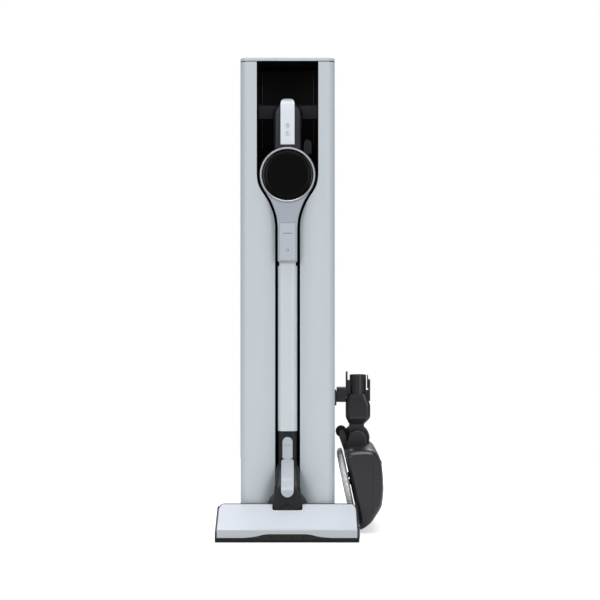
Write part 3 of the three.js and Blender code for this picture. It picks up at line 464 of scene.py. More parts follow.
HY, HZ, HR = 98.6, TOWER_H - 3.5, 3.2
lid = cut(lid_full(), prism("Z", plan(2000, 4, False), LZ - 1, LZ + 4.5))
keep(lid, box(-200, 200, -200, HY, 900, 1100))
join(lid, cyl("X", HY, HZ, HR, -60, 60, 32), box(-60, 60, HY - 6, HY, HZ - 3, TOWER_H - 0.6))
cut(lid, box(-69, -60.4, HY - 5, 110, 900, 1100), box(60.4, 69, HY - 5, 110, 900, 1100), cyl("X", HY, HZ, 1.6, -70, 70, 24))
finish_mesh(lid, "top_lid_skin", SILVER, 0.35, 2, 45)
lid.data.materials.append(BLACK)
for f in lid.data.polygons:
    if f.normal.z < -0.3 and f.center.z < 1.0022 and abs(f.center.x) < 0.0975 and -0.1225 < f.center.y:
        f.material_index = 1
stand_for(lid, "top_lid")
cap = keep(lid_full(), box(-200, 200, 102.7, 200, 900, 1100))
join(cap, box(-68.6, -60.8, HY - 3.4, 104, HZ - 3.2, HZ + 3.2), box(60.8, 68.6, HY - 3.4, 104, HZ - 3.2, HZ + 3.2), cyl("X", HY, HZ, 1.2, -64, 64, 20))
skirt = keep(prism("Z", plan(100, 3.4, False), 985, LZ + 1), box(-94, 94, 104, 200, 900, 1100))
cut(skirt, box(-90, 90, 100, 118, 900, LZ))
join(cap, skirt)
finish_mesh(cap, "lid_rear_cap_skin", SILVER, 0.35, 2, 45)
stand_for(cap, "lid_rear_cap")

bridge = prism("X", [(8.4, 890), (8.4, 917.5), (9.2, 920), (11, 922), (13.6, 922), (13.6, 888), (10.5, 888)], -64.6, 64.6)
cut(bridge, box(-12, 12, 5, 11, 898, 909))
finish_mesh(bridge, "dock_bridge_skin", DOCK, 0.8, 3)
stand_for(bridge, "dock_bridge")

# ------------------------------------------------------------------ vacuum head
ring = lathe("filter_ring_skin", [(54.2, -117.2), (54.2, -127.2), (54.5, -128.2), (55.3, -128.9), (56.3, -129), (57.3, -128.8), (57.9, -128.2), (58.2, -127.2), (58.2, -117.2), (54.2, -117.2)], "Y", 0, CZ, 128)
finish_mesh(ring, "filter_ring_skin", RINGM, 0)
stand_for(ring, "filter_ring")
disc = lathe("filter_disc_skin", [(0, -126.0), (20, -126.05), (38, -126.3), (44, -126.5), (45, -126.1), (46, -126.5), (50, -126.1), (52.6, -125.2), (53.7, -123.8), (53.7, -119.4), (0, -119.4)], "Y", 0, CZ, 128)
finish_mesh(disc, "filter_disc_skin", GLOSS, 0)
stand_for(disc, "filter_disc")
hous = lathe("motor_housing_skin", [(0, -60), (54, -60), (57, -61.2), (59.6, -64), (60.5, -67), (60.5, -112), (60.3, -114.5), (59.4, -116.4), (58, -116.8), (50.2, -116.8), (50.2, -98), (42, -94), (42, -64), (0, -64), ], "Y", 0, CZ, 96)
cut(hous, cyl("Y", 0, CZ, 12, -70, -50, 32))
finish_mesh(hous, "motor_housing_skin", DARK, 0)
stand_for(hous, "motor_housing")

binv = cyl("Y", 0, CZ, 52, -59.6, 3.9, 96)
cut(binv, cyl("Y", 0, CZ, 49.4, -70, 20, 96))
join(binv, prism("X", rr(-8, 10, 697, 707, 3, 5), -14, -9), prism("X", rr(-8, 10, 697, 707, 3, 5), 9, 14))
cut(binv, cyl("Y", 0, CZ, 49.4, -70, 20, 96), box(-14.6, 14.6, 3.9, 11, 704.2, 720), box(-12, 12, -50, -20, 700, 715), box(41, 44, -58, -3, 780, 800))
join(binv, cyl("X", 6.4, 700.6, 1.25, -14, 14, 20))
finish_mesh(binv, "dust_bin_skin", SMOKE, 0.3, 2)
stand_for(binv, "dust_bin")

lev = prism("Y", circ(42.6, 829.4, 8.2, 24, 0, 180) + [(34.4, 807), (50.8, 807)], -57.5, -49)
join(lev, box(41.6, 43.4, -55, -50.2, 782, 809))
cut(lev, cyl("Y", 0, CZ, 49.4, -70, 20, 64))
for k in range(3):
    cut(lev, box(37.6, 47.6, -58, -56.9, 813 + k * 4, 814.4 + k * 4))
finish_mesh(lev, "compressor_lever_skin", DARK, 1.2, 3)
stand_for(lev, "compressor_lever")

bl = cyl("Y", 0, CZ, 51.4, 4.3, 7.9, 96)
join(bl, box(-8.4, 8.4, 4.3, 7.9, 700.6, 710), cyl("X", 6.4, 700.6, 2.5, -8.4, 8.4, 24), box(-56.4, -48, 4.3, 7.9, 750, 764))
cut(bl, cyl("X", 6.4, 700.6, 1.6, -20, 20, 20))
finish_mesh(bl, "bin_lid_skin", DARK, 0.8, 3)
stand_for(bl, "bin_lid")

NK = [(20.5, 573.4), (20.5, 636)] + smooth_path([(20.5, 641), (21.0, 652), (23.0, 668), (28.4, 686), (35.6, 703), (43.6, 716), (46.5, 724)], 6)[1:] + [(46.5, 757)]
NKO = NK + [(-x, z) for x, z in reversed(NK)]
neck = prism("Y", NKO, -127.4, -79)
m_ = neck.modifiers.new("b", "BEVEL"); m_.width = 2.4 * MM; m_.segments = 4; m_.limit_method = "ANGLE"; m_.angle_limit = math.radians(50)
me_ = bpy.data.meshes.new_from_object(neck.evaluated_get(bpy.context.evaluated_depsgraph_get())); neck.modifiers.clear(); neck.data = me_
cut(neck, cyl("Y", 0, CZ, 58.75, -140, -50, 128), cyl("Y", 0, CZ, 60.8, -117.1, -50, 128), cyl("Z", 0, PY, 16.2, 560, 678, 48),
    prism("Y", rr(-17.3, 17.3, 577, 655.8, 3, 6), -140, -121.6))
finish_mesh(neck, "neck_shell_skin", NECKM, 0.35, 2, 40)
stand_for(neck, "neck_shell")
btn = prism("Y", rr(-16.95, 16.95, 577.3, 655.5, 2.7, 6), -127.2, -124.2)
cut(btn, box(-9.6, 9.6, -130, -126.7, 632.6, 634.6))
finish_mesh(btn, "pipe_release_button_skin", BTNM, 0.5, 3)
stand_for(btn, "pipe_release_button")
# generic press marks on the button: a short bar and a small open ring
mk = lathe("button_mark", [(1.9, -127.12), (1.9, -127.3), (3.1, -127.3), (3.1, -127.12), (1.9, -127.12)], "Y", 0, 598, 40)
finish_mesh(mk, "button_mark", MARK, 0)
trim(mk, "pipe_key")
mk = prism("Y", rr(-9.3, 9.3, 632.9, 634.3, 0.6, 3), -126.9, -126.6)
finish_mesh(mk, "button_bar", MARK, 0)
trim(mk, "pipe_key")

# ------------------------------------------------------------------ handle
lp = [(-118, 800), (-118.4, 812), (-119.4, 840), (-119.4, 896)] + smooth_path([(-118.6, 902), (-115.2, 909.5), (-108, 916), (-97, 919)], 5) + [(-60, 916)] + smooth_path([(-54, 914), (-49, 909), (-46.2, 901)], 4) + [(-46.2, 809.6), (-60.2, 809.6), (-60.2, 800)]
hs = prism("X", lp, -14.2, 14.2)
m_ = hs.modifiers.new("b", "BEVEL"); m_.width = 4.6 * MM; m_.segments = 5; m_.limit_method = "ANGLE"; m_.angle_limit = math.radians(60)
me_ = bpy.data.meshes.new_from_object(hs.evaluated_get(bpy.context.evaluated_depsgraph_get())); hs.modifiers.clear(); hs.data = me_
cut(hs, prism("X", rr(-96, -60, 828, 896, 13, 8), -30, 30), cyl("Y", 0, CZ, 60.8, -140, -59.6, 128), cyl("Y", 0, CZ, 52.4, -61, -40, 96),
    prism("X", [(-130, 821.2), (-130, 930), (-95.5, 930), (-95.5, 918.2), (-100, 917.3), (-108, 912.6), (-113.1, 903.9), (-115.1, 895), (-115.1, 821.2)], -30, 30),
    prism("Y", rr(-6.5, 6.5, 838, 869, 6, 6), -130, -112.4))
finish_mesh(hs, "handle_shell_skin", BATM, 1.2, 3, 40)
stand_for(hs, "handle_shell")
so = [(-119.8, 821.6), (-119.8, 894)] + smooth_path([(-119.6, 898), (-116.4, 909), (-108.4, 917.2), (-99, 920.4), (-97, 920.8)], 5) + [(-97, 919.4)] + smooth_path([(-100, 917.8), (-108.2, 913.2), (-113.7, 904.2), (-115.7, 895)], 5) + [(-115.7, 821.6)]
strip = prism("X", so, -14.7, 14.7)
keep(strip, prism("Y", [(-14.7, 800), (14.7, 800), (14.7, 905)] + smooth_path([(14.7, 908), (13.4, 914), (9.5, 918.8), (4, 920.9), (0, 921.2), (-4, 920.9), (-9.5, 918.8), (-13.4, 914), (-14.7, 908)], 5) + [(-14.7, 905)], -130, -60))
cut(strip, prism("Y", rr(-5.3, 5.3, 856.7, 867.3, 3.6, 6), -130, -110), prism("Y", rr(-5.3, 5.3, 839.7, 850.3, 3.6, 6), -130, -110))
finish_mesh(strip, "handle_cover_skin", LIGHT, 0.7, 3, 35)
stand_for(strip, "handle_cover")
for nm, z0, z1, slot in (("power_button", 857, 867, "power"), ("mode_button", 840, 850, "mode")):
    b_ = prism("Y", rr(-5, 5, z0, z1, 3.3, 6), -120.2, -114)
    finish_mesh(b_, nm + "_skin", LIGHT, 0.5, 3)
    stand_for(b_, nm)
    mid = (z0 + z1) / 2
    if nm == "power_button":   # open ring with a stroke
        g_ = lathe("power_mark", [(1.7, -120.15), (1.7, -120.35), (2.7, -120.35), (2.7, -120.15), (1.7, -120.15)], "Y", 0, mid - 0.3, 32)
        finish_mesh(g_, "power_mark", MARK, 0); trim(g_, "power_key")
        g_ = prism("Y", rr(-0.5, 0.5, mid + 0.6, mid + 3.4, 0.4, 3), -120.4, -120.15)
        finish_mesh(g_, "power_mark_stroke", MARK, 0); trim(g_, "power_key")
    else:                      # plus and minus strokes
        for k, (u0, u1, v0, v1) in enumerate(((-2.4, 2.4, 1.1, 2.0), (-0.45, 0.45, -0.9 + 0.7, 3.9 - 0.6), (-2.4, 2.4, -2.9, -2.0))):
            g_ = prism("Y", rr(u0, u1, mid + v0, mid + v1, 0.35, 3), -120.35 - 0.02 * k, -120.15)
            finish_mesh(g_, "mode_mark_%d" % k, MARK, 0); trim(g_, "mode_key")

bo = [(-31.8, 812.5), (31.8, 812.5), (31.8, 889)] + smooth_path([(31.8, 893), (29.9, 903.6), (24, 912.4), (15.5, 918.3), (6, 920.5), (0, 920.6), (-6, 920.5), (-15.5, 918.3), (-24, 912.4), (-29.9, 903.6), (-31.8, 893)], 5) + [(-31.8, 889)]
bt = prism("Y", bo, -45.8, 6.2)
m_ = bt.modifiers.new("b", "BEVEL"); m_.width = 9 * MM; m_.segments = 6; m_.limit_method = "ANGLE"; m_.angle_limit = math.radians(50)
me_ = bpy.data.meshes.new_from_object(bt.evaluated_get(bpy.context.evaluated_depsgraph_get())); bt.modifiers.clear(); bt.data = me_
finish_mesh(bt, "battery_pack_skin", BATM, 0)
stand_for(bt, "battery_pack")

# ------------------------------------------------------------------ pipe
up = prism("Z", rr(-20.5, 20.5, PY - 20.5, PY + 20.5, 13, 12), 215.9, 573)
join(up, cyl("Z", 0, PY, 15.9, 572, 612, 64))
cut(up, cyl("Z", 0, PY, 15.9, 200, 566, 64), cyl("Z", 0, PY, 13, 560, 620, 48))
for s in (-1, 1):
    cut(up, box(min(s * 17.4, s * 24), max(s * 17.4, s * 24), -130, -60, 565.2, 574))
finish_mesh(up, "upper_pipe_skin", PIPE, 0.5, 3, 40)
stand_for(up, "upper_pipe")
col = prism("Z", rr(-20, 20, PY - 20, PY + 20, 12, 12), 158, 215.6)
cut(col, cyl("Z", 0, PY, 15.9, 150, 220, 64), prism("Y", rr(-11, 11, 140, 204.2, 11, 10), -130, -113))
finish_mesh(col, "pipe_collar_skin", DARKER, 0.6, 3, 40)
stand_for(col, "pipe_collar")


def applied(o, *mods):
    """Adds modifiers (type, settings) and bakes them into the mesh."""
    for kind, st in mods:
        m = o.modifiers.new("m", kind)
        for k, v in st.items():
            setattr(m, k, v)
    me = bpy.data.meshes.new_from_object(o.evaluated_get(bpy.context.evaluated_depsgraph_get()))
    o.modifiers.clear()
    old = o.data; o.data = me; bpy.data.meshes.remove(old)
    return o


def rounded(o, w, seg=5, angle=50):
    return applied(o, ("BEVEL", dict(width=w * MM, segments=seg, limit_method="ANGLE", angle_limit=math.radians(angle))))


def steps(keys, n=4):
    """Monotone cubic interpolation of rows [(w, a, b, ...)], n steps per span."""
    out = []
    m = len(keys)
    cols = len(keys[0])
    h = [keys[i + 1][0] - keys[i][0] for i in range(m - 1)]
    tang = []
    for c in range(1, cols):
        d = [(keys[i + 1][c] - keys[i][c]) / h[i] for i in range(m - 1)]
        t = [d[0]] + [0 if d[i - 1] * d[i] <= 0 else 2 * d[i - 1] * d[i] / (d[i - 1] + d[i]) for i in range(1, m - 1)] + [d[-1]]
        tang.append(t)
    for i in range(m - 1):
        for s in range(n + (1 if i == m - 2 else 0)):
            u = s / n
            row = [keys[i][0] + h[i] * u]
            for c in range(1, cols):
                p0, p1, t0, t1 = keys[i][c], keys[i + 1][c], tang[c - 1][i] * h[i], tang[c - 1][i + 1] * h[i]
                row.append((2 * u ** 3 - 3 * u * u + 1) * p0 + (u ** 3 - 2 * u * u + u) * t0 + (-2 * u ** 3 + 3 * u * u) * p1 + (u ** 3 - u * u) * t1)
            out.append(tuple(row))
    return out


# ------------------------------------------------------------------ pipe latch, nozzle neck
ll = prism("Y", circ(0, 193.1, 10.6, 32, 0, 180) + [(-10.6, 160.4)] + circ(0, 171, 15, 16, 225, 315) + [(10.6, 160.4)], -119.6, -115.6)
finish_mesh(ll, "length_lock_lever_skin", LEVM, 0.9, 4, 40)
stand_for(ll, "length_lock_lever")
g_ = prism("Y", rr(-9.6, 9.6, 186.2, 187.0, 0.35, 3), -119.75, -119.5)
finish_mesh(g_, "length_lever_line", MARK, 0)
trim(g_, "length_key")

NKEYS = [(56, 28, -160, -124.2, 8), (74, 28, -160, -124.2, 8), (90, 27.9, -159.6, -124.2, 8), (99, 27.2, -156.6, -123.6, 8.5), (112, 25.6, -146, -108, 10), (125, 25.2, -133, -86, 12), (136, 24, -121.8, -77.2, 10.8), (147, 20.4, -117, -76, 12), (157, 20, -116, -76, 12)]
nn = loft("nozzle_neck_skin", [(w, rr(-hw, hw, y0, y1, r, 8)) for w, hw, y0, y1, r in steps(NKEYS, 4)])
join(nn, rounded(cyl("Y", 0, 52, 28, -160, -124.2, 96), 1.6, 4, 50))
cut(nn, cyl("Y", 0, 52, 14.4, -170, -110, 64), cyl("Z", 0, PY, 15.9, 119, 170, 64))
pk = prism("X", [(-190, 60), (-190, 170), (-113, 170), (-113, 147), (-127.4, 122.6), (-152, 101.6), (-156, 90), (-156, 60)], -13.6, 13.6)
keep(pk, prism("Y", circ(0, 95.4, 13.6, 28, 180, 360) + [(13.6, 170), (-13.6, 170)], -200, -100))
cut(nn, pk)
finish_mesh(nn, "nozzle_neck_skin", DARKER, 0.7, 3, 48, 46)
stand_for(nn, "nozzle_neck")
lo = [(-121, 156.6), (-121.2, 146.5)] + smooth_path([(-123.2, 140.5), (-137.4, 118.6), (-148, 109.6), (-160.2, 100.4), (-163.4, 95.6), (-164, 90)], 6) + [(-164, 82), (-160.2, 82), (-160.2, 90)] + \
     smooth_path([(-159.4, 95.4), (-156.5, 99.9), (-145.6, 108.4), (-134.6, 119.6), (-118.6, 143.6)], 6) + [(-117.4, 147.5), (-117.4, 156.6)]
rl = prism("X", lo, -13.1, 13.1)
keep(rl, prism("Y", circ(0, 95.3, 13.1, 40, 180, 360) + [(13.1, 149)] + smooth_path([(13.0, 151), (12.2, 154.6), (10.2, 156.6)], 4) + list(reversed([(-x, z) for x, z in smooth_path([(13.0, 151), (12.2, 154.6), (10.2, 156.6)], 4)])) + [(-13.1, 149)], -200, -100))
finish_mesh(rl, "nozzle_release_lever_skin", LEVM, 0.9, 4, 40)
stand_for(rl, "nozzle_release_lever")
for k in range(4):   # fine grip ribs at the foot of the lever
    g_ = prism("Y", rr(-6.5 + k * 0.6, 6.5 - k * 0.6, 93.6 - 2.4 * k, 94.4 - 2.4 * k, 0.35, 3), -164.3, -163.9)
    finish_mesh(g_, "lever_rib_%d" % k, LEVM, 0)
    trim(g_, "nozzle_key")

yk = cyl("Y", 0, 52, 43.6, -123.6, -117.6, 128)
cut(yk, box(-60, 60, -130, -110, 0, 20))
rounded(yk, 1.1, 4, 50)
join(yk, cyl("Y", 0, 52, 14, -163, -120, 64), cyl("X", -168, 38, 6.6, -12, 12, 40), box(-12, 12, -168, -161.5, 38, 50))
cut(yk, cyl("X", -168, 38, 3.3, -20, 20, 32), cyl("Y", 0, 56, 7, -150, -100, 40))
finish_mesh(yk, "roll_yoke_skin", YOKEM, 0.6, 3, 48, 40)
yk.data.materials.append(DARKER)
for f in yk.data.polygons:
    if f.center.y < -0.1242:
        f.material_index = 1
stand_for(yk, "roll_yoke")

# ------------------------------------------------------------------ floor nozzle
np_ = [(-133, 38), (-133, 54.6)] + smooth_path([(-133.3, 56.2), (-135, 59.2), (-138, 60.8), (-141, 61)], 4) + [(-236, 24.3), (-241, 23.5), (-243.2, 21.6), (-243.8, 10), (-244, 4.4), (-242.6, 2.9), (-240, 2.4), (-190, 3), (-160, 6)]
nz = rounded(prism("X", np_, -147, 147), 1.6, 4, 40)
keep(nz, prism("Y", rr(-147, 147, -20, 67, 11, 8), -300, -100))
rim_c = smooth_path([(-144.2, 54), (-143.9, 57.6), (-142.2, 61.0), (-139.2, 63.8), (-135.6, 65.4), (-131.5, 65.8)], 4)
join(nz, rounded(prism("Y", [(-144.2, 46)] + rim_c + [(-x, z) for x, z in reversed(rim_c)] + [(144.2, 46)], -136.8, -133.2), 0.9, 3, 50))
cut(nz, cyl("X", -208, 15.4, 17, -131, 131, 64), box(-131, 131, -223, -193, -5, 15), box(-55, 55, -260, -208, 5.5, 15),
    box(-33.5, 33.5, -176, -100, -10, 100), box(-33.5, 33.5, -188, -100, -10, 31))
for s in (1, -1):
    a_, b_ = sorted((s * 12.6, s * 34))
    join(nz, cyl("X", -168, 38, 6.6, a_, b_, 40), box(a_, b_, -178, -168, 32, 44.6))
    a_, b_ = sorted((s * 54, s * 68))
    cut(nz, box(a_, b_, -162, -130, -2, 21))
cut(nz, cyl("X", -168, 38, 3.3, -32, 32, 32), box(-22, 22, -204, -170, 31.5, 41), cyl("X", -208, 15.4, 5, 129, 160, 32), cyl("X", -208, 15.4, 5, -139, -129, 32),
    cyl("X", -147, 9.6, 2.2, 50, 72, 20), cyl("X", -147, 9.6, 2.2, -72, -50, 20))
finish_mesh(nz, "nozzle_housing_skin", DARK, 0.5, 2, 48, 40)
stand_for(nz, "nozzle_housing")

cc_ = smooth_path([(-142.6, 55.5), (-141.9, 58.6), (-139.4, 62), (-135.6, 64.6), (-130.6, 66.6), (-126, 67.6)], 5)
cv_o = [(-142.6, 9.9), (-142.6, 50)] + cc_ + [(-x, z) for x, z in reversed(cc_)] + \
       [(142.6, 50), (142.6, 9.9), (90, 10.0)] + smooth_path([(85, 10.3), (72, 11.6), (60, 13.6), (48, 16.4), (37, 17.6)], 4) + smooth_path([(-37, 17.6), (-48, 16.4), (-60, 13.6), (-72, 11.6), (-85, 10.3)], 4) + [(-90, 10.0)]
cp = [(-137.2, 61.2), (-137.4, 62.8), (-138.6, 64.2), (-140.4, 64.8), (-142.4, 64.5), (-236.0, 28.1)] + smooth_path([(-238.6, 27.5), (-243.6, 26.8), (-245.5, 25.6), (-246, 23.3)], 4) + [(-246, 9.8), (-244.3, 9.8), (-244.3, 23.0), (-241.8, 24.7), (-236.2, 25.1), (-141.4, 61.6)]
cv = prism("X", cp, -142.6, 142.6)
keep(cv, prism("Y", cv_o, -260, -120))
cut(cv, prism("Z", rr(-31.4, 31.4, -165.8, -100, 5.4, 8), 30, 100))
finish_mesh(cv, "nozzle_cover_skin", COVM, 0.7, 3, 30, 30)
# painted shade: the lower front lip faces take the darker copy of the cover silver, because the front face falls darker
# than the lit top
cv.data.materials.append(COVER_PAINTED_SHADE_M)
for f in cv.data.polygons:
    if f.center.y < -0.2445 and f.center.z < 0.0262:
        f.material_index = 1
stand_for(cv, "nozzle_cover")

bp_ = prism("X", [(-244.3, 1.0), (-246.4, 0.9), (-247.5, 2.0), (-247.8, 5.2), (-247.4, 8.2), (-246.3, 9.4), (-244.3, 9.4)], -146.6, 146.6)
cut(bp_, box(-57.4, 57.4, -250, -240, 4.4, 20))
finish_mesh(bp_, "front_bumper_skin", RUBBER, 0.5, 2)
stand_for(bp_, "front_bumper")
lwr = smooth_path([(57, 12.8), (54.6, 13.9), (46, 16.2), (36.6, 17.2)], 4)
lw = prism("Y", [(-57, 4.8), (57, 4.8)] + lwr + list(reversed([(-x, z) for x, z in lwr])), -246.6, -244.4)
finish_mesh(lw, "lamp_window_skin", LAMP, 0.5, 3)
stand_for(lw, "lamp_window")
for k in range(4):   # small emitters behind the window
    g_ = cyl("Y", -33 + 22 * k, 10.4, 2.0, -246.75, -246.5, 24)
    finish_mesh(g_, "lamp_lens_%d" % k, GLOSS, 0)
    trim(g_, "floor_nozzle")

# brush roller: a core with two spiral bands of tufts
bm = bmesh.new()
NS, NA = 96, 72
rows = []
for i in range(NS + 1):
    x = -128 + 256 * i / NS
    row = []
    for j in range(NA):
        a = 2 * math.pi * j / NA
        ph = math.cos(2 * (a - x / 60.0) )
        r = 11.8 + 2.5 * max(0.0, min(1.0, (ph - 0.1) / 0.55)) + 0.16 * random.random()
        row.append(bm.verts.new((x * MM, (-208 + r * math.cos(a)) * MM, (15.4 + r * math.sin(a)) * MM)))
    rows.append(row)
for a_, b_ in zip(rows, rows[1:]):
    for j in range(NA):
        bm.faces.new((a_[j], a_[(j + 1) % NA], b_[(j + 1) % NA], b_[j]))
bm.faces.new(rows[0]); bm.faces.new(rows[-1])
bmesh.ops.recalc_face_normals(bm, faces=bm.faces)
me = bpy.data.meshes.new("brush_roller_skin"); bm.to_mesh(me); bm.free()
br = bpy.data.objects.new("brush_roller_skin", me); scene.collection.objects.link(br)
finish_mesh(br, "brush_roller_skin", BRUSH, 0)
stand_for(br, "brush_roller")
for s, e in ((-1, -137.4), (1, 133.4)):
    g_ = cyl("X", -208, 15.4, 4, min(s * 127.6, e), max(s * 127.6, e), 32)
    finish_mesh(g_, "brush_axle_" + ("left" if s < 0 else "right"), DARKER, 0.4, 2)
    trim(g_, "brush")

ec = cyl("X", -208, 15.4, 12.5, 147.3, 148.8, 64)
rounded(ec, 0.5, 3, 50)
join(ec, cyl("X", -208, 15.4, 4.6, 134, 147.6, 40))
cut(ec, box(148.2, 150, -216, -200, 14.6, 16.2))
finish_mesh(ec, "roller_end_cap_skin", DARKER, 0.25, 2, 50)
stand_for(ec, "roller_end_cap")
for s, nm in ((-1, "left"), (1, "right")):
    a_, b_ = sorted((s * 56.4, s * 65.6))
    wh = cyl("X", -147, 9.6, 9.1, a_, b_, 64)
    for k in (0.33, 0.67):
        gx = a_ + (b_ - a_) * k
        rgc = cyl("X", -147, 9.6, 12, gx - 0.35, gx + 0.35, 64); cut(rgc, cyl("X", -147, 9.6, 8.7, gx - 1, gx + 1, 64)); cut(wh, rgc)
    rounded(wh, 0.8, 3, 60)
    c_, d_ = sorted((s * 51, s * 71))
    join(wh, cyl("X", -147, 9.6, 1.8, c_, d_, 24))
    finish_mesh(wh, "rear_wheel_%s_skin" % nm, RUBBER, 0.15, 2, 50)
    stand_for(wh, "rear_wheel_" + nm)

# ------------------------------------------------------------------ mop nozzle on the right side
MX, MY = 153.0, 5.0
mh = rounded(prism("X", rr(-13, 23, 263, 297, 5, 8), 100.3, 105.8), 1.2, 4, 50)
join(mh, prism("X", rr(1, 9, 270, 293, 2, 4), 104, 108), prism("X", rr(-3, 13, 270, 293, 2, 4), 109.4, 113))
CPK = [(222.6, 133.5, 167, 16, 9), (229, 130, 173.5, 18.5, 9), (238, 126.6, 179.4, 21, 9), (250, 126.4, 179.8, 21, 9), (262, 126.4, 179.6, 21, 9), (270, 126.6, 177.6, 21, 9.2), (276, 127.2, 175.4, 20.9, 9.6), (282, 129.4, 174.2, 20.3, 10.6), (288, 132.5, 173, 19.5, 12)]
cpl = loft("mop_coupler_skin", [(w, rr(x0, x1, MY - hy, MY + hy, r, 10)) for w, x0, x1, hy, r in steps(CPK, 4)])
col_ = cyl("Z", MX, MY, 18, 286, 330, 80); rounded(col_, 0.7, 3, 50)
join(cpl, col_,
     prism("X", [(-1, 281), (11, 281), (11, 326), (9.4, 334), (6.4, 337), (3.6, 337), (0.6, 334), (-1, 326)], 126.4, 130.4), box(129, 138, -2, 12, 282, 318),
     prism("X", rr(-6, 16, 272, 320, 4, 6), 175.6, 179.6), box(168, 177, -4, 14, 272, 296),
     rounded(prism("X", rr(-8, 18, 270, 303, 5, 6), 106.7, 127.2), 0.8, 3, 50))
cut(cpl, box(100, 110, 0.6, 9.4, 255, 295.4), box(109, 113.5, -3.4, 13.4, 255, 295.4), cyl("Z", MX, MY, 15.2, 244, 340, 64))
EX, EZ = 150.0, 190.0
join(cpl, prism("Y", circ(EX, EZ, 16, 48, 180, 360) + [(EX + 16, 226), (EX - 16, 226)], MY - 15, MY + 15))
cut(cpl, cyl("Y", EX, EZ, 3.2, -20, 30, 32))
for k in range(3):   # shallow ribs round the elbow
    z_ = 199 + 6 * k
    cut(cpl, box(120, 180, MY - 15.4, MY - 14.4, z_, z_ + 1.6))
finish_mesh(cpl, "mop_coupler_skin", MOP, 0.6, 3, 48, 42)
stand_for(cpl, "mop_coupler")
finish_mesh(mh, "mop_holder_skin", DOCK, 0.4, 2, 48)
stand_for(mh, "mop_holder")
ml = prism("X", rr(0, 10, 300, 320, 2, 5), 173.1, 175.3)
join(ml, prism("X", rr(1, 9, 316, 329, 2, 5), 173.1, 175.3))
finish_mesh(ml, "mop_latch_skin", RUBBER, 0.4, 3, 48)
stand_for(ml, "mop_latch")

AT = math.radians(11.5)
DN, NIN, S0 = (math.sin(AT), -math.cos(AT)), (math.cos(AT), math.sin(AT)), (108.0, 166.0)


def sp(s, d):
    return (S0[0] + DN[0] * s + NIN[0] * d, S0[1] + DN[1] * s + NIN[1] * d)


hp = [sp(-1, 14)] + smooth_path([(124, 171.2), (128, 174.0), (136, 176.4), (150, 177.8), (164, 178.2), (173, 177.6), (182, 175), (190, 168.4), (195, 160), (199, 148), (201.4, 130), (203, 109), (203.5, 88), (200.5, 60), (196, 48.5), (190, 38.8), (178, 21.6), (166, 11.5), (158, 6.6)], 4) + [(154.4, 5.2), sp(142, 14)]
hp = ccw(hp)
hc = (sum(p[0] for p in hp) / len(hp), sum(p[1] for p in hp) / len(hp))


def head_at(y):
    """Side outline of the head at a given y; its ends round over."""
    d = min(y - (MY - 130), (MY + 130) - y)
    k = 1.0 if d >= 26 else 0.8 + 0.2 * (1 - (1 - d / 26.0) ** 2.4) ** 0.75
    return [(hc[0] + (x - hc[0]) * k, hc[1] + (z - hc[1]) * k) for x, z in hp]


ys = [MY + 130 - d for d in (0, 0.6, 1.4, 2.6, 4.2, 6.4, 9.2, 12.6, 17, 21.5, 26)]
ys = ys + [MY + 60, MY, MY - 60] + [2 * MY - y for y in reversed(ys)]
head = loft("t", [(-y, head_at(y)) for y in ys], "Y")
deck = bpy.data.objects.new("t2", head.data.copy()); scene.collection.objects.link(deck)
keep(deck, box(100, 179.4, -200, 200, -20, 260))
for y0 in (MY - 35.8, MY + 15.8):   # shoulders either side of the elbow
    sh_ = prism("Y", [(max(x, 123.4), z) for x, z in circ(EX, EZ, 29.5 if y0 > MY else 20, 40, -12, 172)] + [(122, 168), (124, 160), (179.2, 160)], y0, y0 + 20)
    join(deck, rounded(sh_, 2.4, 4, 50))
cut(deck, box(110, 180, MY - 15.5, MY + 15.5, EZ - 1, 260), cyl("Y", EX, EZ, 16.8, MY - 15.5, MY + 15.5, 64),
    prism("Y", [(EX, EZ), (161.9, 178.4), (190, 209.6), (190, 260), (EX, 260)], MY - 15.5, MY + 15.5))
join(deck, cyl("Y", EX, EZ, 2.8, MY - 17, MY + 17, 32))
PC = sp(67, 0)


def pad_cyl(r, d0, d1, cy, n=64):
    """Cylinder square to the sole plane, from depth d0 to d1."""
    vx = [(d, [(r * math.cos(2 * math.pi * i / n), r * math.sin(2 * math.pi * i / n)) for i in range(n)]) for d in (d0, d1)]
    vs = [(PC[0] + NIN[0] * d + DN[0] * q, cy + p, PC[1] + NIN[1] * d + DN[1] * q) for d, c in vx for p, q in c]
    fs = [(i, (i + 1) % n, n + (i + 1) % n, n + i) for i in range(n)] + [tuple(reversed(range(n))), tuple(range(n, 2 * n))]
    o = new_obj("t", vs, fs)
    bm = bmesh.new(); bm.from_mesh(o.data); bmesh.ops.recalc_face_normals(bm, faces=bm.faces); bm.to_mesh(o.data); bm.free()
    return o


for cy in (MY - 66, MY + 66):
    cut(deck, pad_cyl(48, 8, 42, cy)); join(deck, pad_cyl(6, 6, 46, cy, 32))
cut(deck, box(98, 104, -200, 200, -20, 260))
RX, RZ = 116.4, 206.0
RB = [(121, 168), (111.4, 196), (111.2, 206), (112.8, 209.6), (116.4, 211.2), (120, 209.8), (122.5, 206), (127, 196), (128, 172)]
join(deck, prism("Y", RB, MY - 23.6, MY - 13), prism("Y", RB, MY + 13, MY + 23.6))
cut(deck, cyl("Y", RX, RZ, 12.6, MY - 12.6, MY + 12.6, 48), cyl("Y", RX, RZ, 2.4, MY - 18.4, MY + 18.4, 24))
finish_mesh(deck, "mop_deck_skin", MOP, 0.5, 3, 44, 40)
stand_for(deck, "mop_deck")
tank = head
keep(tank, box(179.8, 230, -200, 200, -20, 260))
cut(tank, box(182.4, 196, MY - 100, MY + 100, 60, 140), cyl("X", MY - 80, 100, 6, 180, 184, 32), box(179, 183.4, MY - 6, MY + 6, 94, 106))
